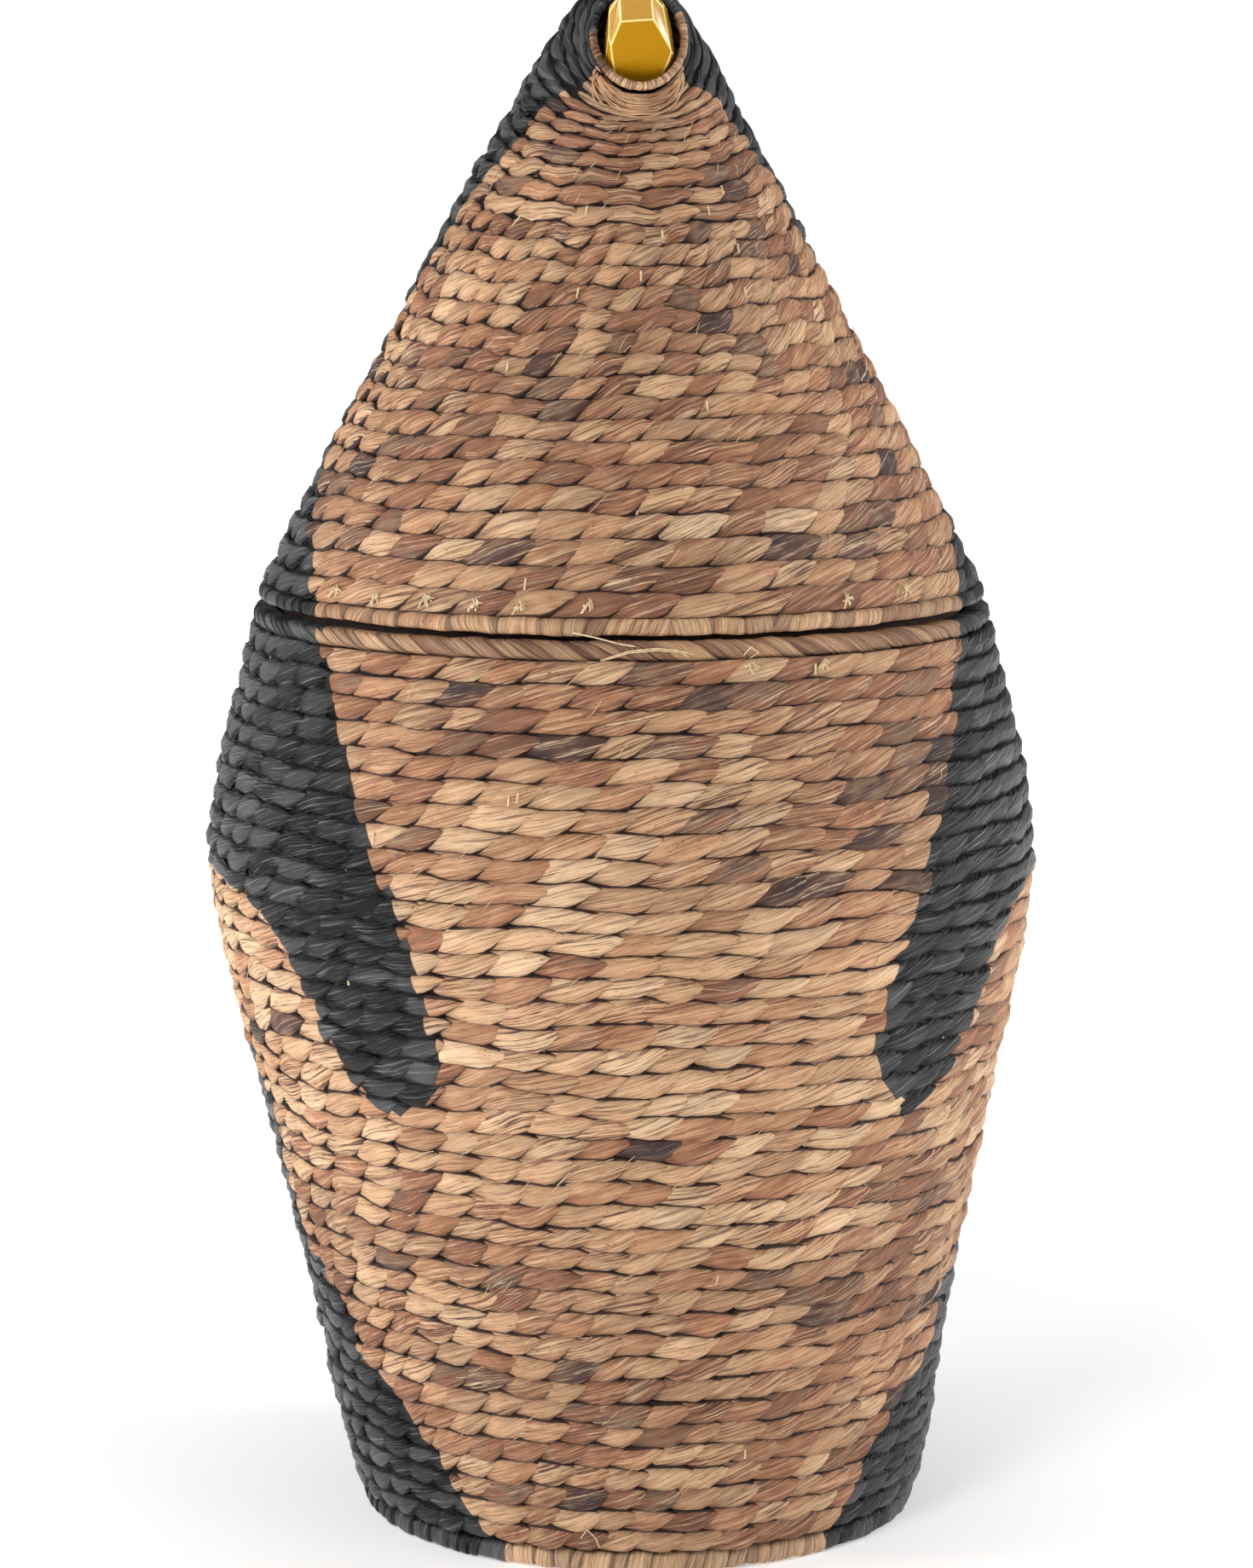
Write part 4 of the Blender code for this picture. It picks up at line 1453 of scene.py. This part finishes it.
@dataclass
class Beak(Piece):
    """The faceted wooden beak, its edges slightly softened and painted pale as a highlight."""

    pitch: float = math.radians(32)
    start: tuple[float, float, float] = (0.0035, -0.03976, 0.65743)
    radius: float = 0.0153
    shank: float = 0.012
    length: float = 0.046
    tier: float = 0.0262
    corner: float = math.radians(40)
    skew: float = math.radians(7.5)
    # Width of the rounded edges, which carry a painted highlight.
    worn: float = 0.0005

    def build(self) -> Object:
        """Builds the beak.

        Returns:
            The piece.
        """
        bm = bmesh.new()
        total = self.length + self.shank
        bmesh.ops.create_cone(bm, cap_ends=True, segments=64, radius1=self.radius, radius2=self.radius, depth=total)
        bmesh.ops.translate(bm, verts=bm.verts, vec=(0, 0, total / 2 - self.shank))
        bmesh.ops.rotate(bm, verts=bm.verts, matrix=Matrix.Rotation(self.skew, 3, "Y"))
        quarter = math.pi / 2
        for angles, begin, tier, tip in (
            ((-quarter,), -0.0191, 0.0034, -0.0105),
            ((quarter,), 0.014, 0.0116, 0.0045),
            ((0.0, math.pi), -0.004, 0.0117, 0.0018),
            ((-self.corner, self.corner - math.pi), 0.0097, 0.0076, None),
            ((self.corner,), 0.016, 0.0118, 0.004),
            ((math.pi - self.corner,), 0.016, 0.0118, 0.0026),
        ):
            for angle in angles:
                self.cut(bm, angle, (begin, self.radius), (self.tier, tier))
                if tip is not None:
                    self.cut(bm, angle, (self.tier, tier), (self.length, tip))
        bmesh.ops.rotate(bm, verts=bm.verts, matrix=Matrix.Rotation(-self.skew, 3, "Y"))
        bmesh.ops.dissolve_limit(bm, angle_limit=0.01, verts=bm.verts, edges=bm.edges)
        sharp = [e for e in bm.edges if len(e.link_faces) == 2 and e.calc_face_angle(0) > 0.16]
        worn = bmesh.ops.bevel(bm, geom=sharp, offset=self.worn, segments=3, profile=0.5, affect="EDGES", material=-1)
        # The rounded edges take the pale lacquer as a painted highlight.
        for face in worn["faces"]:
            face.material_index = 1
        up = Vector((0, math.sin(self.pitch), math.cos(self.pitch)))
        axis = Vector((0, -math.cos(self.pitch), math.sin(self.pitch)))
        turned = Matrix((up.cross(axis), up, axis)).transposed().to_4x4()
        bmesh.ops.transform(bm, matrix=Matrix.Translation(self.start) @ turned, verts=bm.verts)
        mesh = finished(bm, self.name)
        mesh.set_sharp_from_angle(angle=math.radians(24))
        made = self.settle(mesh)
        mesh.materials.append(Stuff.EDGE.finish())
        return made

    def cut(self, bm: Shape, angle: float, near: tuple[float, float], far: tuple[float, float]) -> None:
        """Cuts a flat facet.

        Args:
            bm: The beak, along Z.
            angle: Which way the facet faces.
            near: Distance along and out where the facet starts.
            far: Distance along and out of a second point on it.
        """
        side = Vector((math.cos(angle), math.sin(angle), 0))
        normal = (side * (far[0] - near[0]) + Vector((0, 0, near[1] - far[1]))).normalized()
        bmesh.ops.bisect_plane(
            bm, geom=bm.verts[:] + bm.edges[:] + bm.faces[:], plane_co=side * near[1] + Vector((0, 0, near[0])),
            plane_no=normal, clear_outer=True,
        )
        bmesh.ops.holes_fill(bm, edges=[e for e in bm.edges if e.is_boundary])


# The object


@dataclass
class Basket:
    """The basket and its lid."""

    wall: WallForm = WallForm()
    lid: LidForm = LidForm()
    mat: MatForm = MatForm()

    def build(self, frame: dict) -> None:
        """Builds every piece and gives the remaining solids their finishes.

        Args:
            frame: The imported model, as it was loaded.
        """
        for piece in self.body_pieces() + self.lid_pieces():
            piece.build()
        self.finish_solids(frame)

    def body_tint(self, turn: Array, course: Array) -> tuple[Array, Array]:
        """Browner bands and paler places on the basket's wall.

        Args:
            turn: Angles of the leaves.
            course: Their courses.

        Returns:
            How much browner and how much brighter they are.
        """
        band = ripple(turn, 4, course * 0.55, 21)
        high = smoothstep(27, 36, course)
        low = smoothstep(19, 11, course)
        side = smoothstep(0.45, 0.8, np.mod(turn + math.pi, math.tau) - math.pi) * smoothstep(22, 34, course)
        return 0.02 + 0.08 * band + 0.18 * high + 0.13 * low + 0.14 * side, 0.3 - 0.14 * band - 0.26 * high - 0.32 * low

    def lid_tint(self, turn: Array, course: Array) -> tuple[Array, Array]:
        """The lid's strands, browner towards the head.

        Args:
            turn: Angles of the leaves.
            course: Their courses.

        Returns:
            How much browner and how much brighter they are.
        """
        band = ripple(turn, 4, course * 0.6, 22)
        high = smoothstep(2, 14, course)
        head = smoothstep(22, 25, course)
        return 0.2 + 0.08 * band - 0.02 * high - 0.26 * head, 0.02 - 0.12 * band + 0.08 * high + 0.2 * head

    def rim_place(self, turn: Array, up: Array, out: Array) -> Array:
        """Points by the basket's rim, by angle, millimetres up and metres outwards."""
        return RIM_PATH.place(turn, out, up * 0.001)

    def body_pieces(self) -> list[Piece]:
        """The pieces that stay on the floor.

        Returns:
            The pieces.
        """
        weave = ("basket", ("body_weave",), "woven_strand")
        floor = ("basket", ("base_mat",), "woven_strand", Stuff.STRAND)
        rim = ("basket", ("body_rim_wrap",), "wrapping_strand")
        return [
            Strands(
                "body_strands_low", *weave, Stuff.STRAND, self.wall, 0, 20, tint=self.body_tint,
                marked=((-9, 6.8, 0.78),),
            ),
            Strands(
                "body_strands_high", *weave, Stuff.STRAND, self.wall, 20, 39, tint=self.body_tint,
                marked=(
                    (-11, 35.8, 0.97), (6, 32.9, 0.8), (0.5, 37.6, 0.9), (-1.5, 34.4, 0.2), (30, 31.5, 0.92),
                    (-3, 38.5, 0.8),
                ),
            ),
            LooseEnds(
                "body_loose_ends", *weave, Stuff.STAKE, self.wall.place,
                ticks=((-21, 33.25), (-19.8, 33.4), (14, 4.5), (23, 38.4), (-40.5, 31.4), (30, 26.3), (8, 12.6)),
                knots=((24.5, 38.6), (13, 38.7)),
                curls=(
                    ((-17, 0.7, 0), (-15.5, 1.2, 1.5), (-14, 0.8, 1.2), (-13.5, 0.3, 0)),
                    ((-8, 36.4, 0.2), (-4, 36.6, 1.2), (0, 36.9, 0.4)),
                ),
                hairs=420, coat=BODY_COAT,
            ),
            LooseEnds(
                "rim_loose_ends", *rim, Stuff.STAKE, self.rim_place,
                curls=(
                    ((-9, -3.5, 5.2), (-5, 0.5, 6.3), (-1, 1.6, 6.2), (2, 0.8, 6.2), (4.5, -1.2, 5.6)),
                    ((-9, -4, 4.9), (-5, -0.2, 6.1), (-1, 0.8, 6.3), (2.5, 0, 6.1), (4, -2.5, 5)),
                    ((-13, 8, 5), (-10, 6.5, 7), (-6, 3.5, 6.5), (-4, 2.5, 5.8)),
                    ((12, -2, 5.5), (13, 1.5, 7), (14.2, -1, 6.6), (13, -3.5, 5)),
                ),
                hairs=90, span=(-4.6, -3.2), reach=math.radians(56), fall=-1.6,
            ),
            Strands("body_lining", *weave, Stuff.STRAND, self.wall, 0, 39, True, LINING_BLANK, self.body_tint),
            Core("body_core", *weave, Stuff.FILL, self.wall),
            Stakes("body_stakes", *weave, Stuff.STAKE, self.wall, 50, 38.9),
            Strands("mat_top", *floor, self.mat, 0, 11, False, LINING_BLANK),
            Strands("mat_bottom", *floor, self.mat, 0, 11, True, LINING_BLANK),
            Wrapping(
                "foot_wrapping", "basket", ("foot_wrap",), "wrapping_strand", Stuff.WRAPPING,
                RingPath(0.1215, 0.1215, (0.0078, 0, 0.0053)), 0.009, 0.0094, 80, skew=0.15, black_from=(33, 36),
                dark=-0.45,
            ),
            Wrapping(
                "body_rim_wrapping", *rim, Stuff.WRAPPING, RIM_PATH, 0.0108, 0.0094, 96,
                skew=-1.5, ridge=0.0004, black_from=(57.5, 58), dark=0.25, parting=0.13,
            ),
        ]

    def lid_pieces(self) -> list[Piece]:
        """The pieces that lift off.

        Returns:
            The pieces.
        """
        weave = ("lid", ("lid_weave",), "woven_strand")
        return [
            Strands(
                "lid_strands_low", *weave, Stuff.STRAND, self.lid, 0, 17, tint=self.lid_tint,
                marked=((7, 3.3, 0.02), (23, 3.3, 0.05), (22, 2.5, 0.95)),
            ),
            Strands("lid_strands_high", *weave, Stuff.STRAND, self.lid, 17, 30, tint=self.lid_tint),
            LooseEnds(
                "lid_loose_ends", *weave, Stuff.STAKE, self.lid.place,
                knots=(
                    (-56, 0.5), (-46.5, 0.4), (-37, 0.45), (-28.5, 0.35), (-21, 0.4), (-10.5, 0.5), (31, 0.4),
                    (44, 0.5),
                ),
                ticks=(
                    (-19.5, 17.6), (25, 17.5), (6.5, 16.4), (-18.5, 13.6), (23, 13.5), (29.5, 13.5), (32, 15.5),
                    (34, 18.5), (-1, 14.4), (-21, 1.2), (12, 8.5), (-33, 10.2),
                ),
                curls=(((-46, 16.5, 0), (-43, 17, 1.4), (-38, 16.8, 1.8), (-34, 17.2, 0.5)),),
                hairs=260, span=(0.5, 24), coat=LID_COAT,
            ),
            Strands("lid_lining", *weave, Stuff.STRAND, self.lid, 0, 28, True, LINING_BLANK, self.lid_tint),
            Core("lid_core", *weave, Stuff.FILL, self.lid),
            Stakes("lid_stakes", *weave, Stuff.STAKE, self.lid, 44, 22),
            LooseEnds("head_fibres", *weave, Stuff.FIBRE, self.lid.place, garlands=15),
            Wrapping(
                "lid_rim_wrapping", "lid", ("lid_rim_wrap",), "wrapping_strand", Stuff.WRAPPING,
                RingPath(0.1579, 0.1579, (0, 0, 0.4181)), 0.0082, 0.0078, 64, skew=0.1, ridge=0.0004, dark=0.2,
                parting=-0.24,
            ),
            Wrapping(
                "head_wrapping", "lid", ("head_wrap",), "wrapping_strand", Stuff.WRAPPING,
                RingPath(0.01975, 0.02275, (0.0035, -0.039, 0.6618), math.radians(22)), 0.0034, 0.0045, 64, skew=0.3,
                ridge=0.0002, black_from=(96, 118), around=12, samples=7, dark=-0.1, dark_left=0.7,
            ),
            PlainRing(
                "lid_cane_collar", "lid", ("lid_collar",), "split_cane", Stuff.CANE,
                (
                    (0.1495, 0.4005), (0.1525, 0.4005), (0.1525, 0.414), (0.1535, 0.4153), (0.1535, 0.4202),
                    (0.1495, 0.4202),
                ),
            ),
            Beak("faceted_beak", "lid", ("beak",), "yellow_lacquer", Stuff.LACQUER),
        ]

    def finish_solids(self, frame: dict) -> None:
        """Gives the solids that stay in sight their finishes.

        Args:
            frame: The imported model, as it was loaded.
        """
        for name, solid in frame["nodes"].items():
            stuff = {"beak_crossbar": Stuff.WOOD, "beak_screw": Stuff.ZINC, "lid_collar": Stuff.CANE}.get(name)
            if stuff or any(word in name for word in ("stave", "hoop", "cross")):
                solid.data.materials.clear()
                solid.data.materials.append((stuff or Stuff.WIRE).finish())


# Studio


@dataclass(frozen=True)
class Studio:
    """Camera, lights and floor."""

    azimuth: float = math.radians(-6)
    distance: float = 2.075
    height: float = 0.6345
    pitch: float = 0.1460
    side: float = 0.0022
    lens: float = 106.7
    floor_radius: float = 4.0

    def build(self) -> None:
        """Builds the whole studio."""
        self.add_camera()
        self.add_lights()
        self.add_floor()

    def add_camera(self) -> None:
        """The camera, level with the head and tilted down."""
        data = bpy.data.cameras.new("camera")
        data.lens = self.lens
        data.sensor_width = 36
        data.clip_end = 50
        camera = linked("camera", data)
        turned = Matrix.Rotation(self.azimuth, 4, "Z")
        place = Matrix.Translation((self.side, -self.distance, self.height))
        camera.matrix_world = turned @ place @ Matrix.Rotation(math.pi / 2 - self.pitch, 4, "X")
        bpy.context.scene.camera = camera

    def add_lights(self) -> None:
        """Large soft lights from the left, the right and above, and a white surround."""
        for name, place, aim, size, power in (
            ("key_light", (-1.3, -2.4, 2.1), (0, 0, 0.38), 1.0, 34),
            ("left_light", (-1.6, -0.3, 0.9), (0, 0, 0.42), 0.7, 10),
            ("low_left_light", (-1.4, -0.05, 0.12), (0, 0, 0.6), 0.3, 5.5),
            ("low_right_light", (1.4, -0.05, 0.12), (0, 0, 0.6), 0.24, 2.5),
            ("right_light", (1.6, 0.0, 0.9), (0, 0, 0.42), 0.6, 10),
            ("fill_light", (2.0, -2.0, 1.2), (0, 0, 0.38), 1.2, 8),
            ("top_light", (0.1, 0.3, 2.9), (0, 0, 0.38), 1.6, 14),
        ):
            data = bpy.data.lights.new(name, "AREA")
            data.shape = "DISK"
            data.size = size
            data.energy = power
            light = linked(name, data)
            way = (Vector(aim) - Vector(place)).to_track_quat("-Z", "Y").to_matrix().to_4x4()
            light.matrix_world = Matrix.Translation(place) @ way
        world = bpy.data.worlds.new("surround")
        world.use_nodes = True
        tree = world.node_tree
        seen = tree.nodes.new("ShaderNodeLightPath")
        bright = tree.nodes.new("ShaderNodeMath")
        bright.operation = "MULTIPLY_ADD"
        bright.inputs[1].default_value, bright.inputs[2].default_value = 0.9, 0.2
        tree.links.new(seen.outputs["Is Camera Ray"], bright.inputs[0])
        tree.links.new(bright.outputs[0], tree.nodes["Background"].inputs["Strength"])
        tree.nodes["Background"].inputs["Color"].default_value = (1, 1, 1, 1)
        bpy.context.scene.world = world
        bpy.context.scene.view_settings.view_transform = "Standard"

    def add_floor(self) -> None:
        """A pale round floor that glows as painted light, so that it gets lighter away from the basket."""
        bm = bmesh.new()
        bmesh.ops.create_circle(bm, cap_ends=True, segments=96, radius=self.floor_radius)
        mesh = bpy.data.meshes.new("floor")
        bm.to_mesh(mesh)
        bm.free()
        floor = linked("floor", mesh)
        g = Graph("glowing pale floor")
        away = g.node("VectorMath", {0: g.node("TexCoord").outputs["Object"]}, operation="LENGTH").outputs["Value"]
        # Painted light: the floor glows faintly near the basket and fully away from it.
        glow = g.mix(g.fade(away, 0.3, 1.3), (0.42, 0.42, 0.42, 1), (1, 1, 1, 1))
        g.set(Base_Color=(0.9, 0.9, 0.9, 1), Roughness=0.9, Emission_Color=glow, Emission_Strength=0.9)
        mesh.materials.append(g.material)


def main() -> None:
    """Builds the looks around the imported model."""
    logging.basicConfig(level=logging.INFO, format="%(message)s")
    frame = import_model()
    Basket().build(frame)
    Studio().build()


if __name__ == "__main__":
    main()
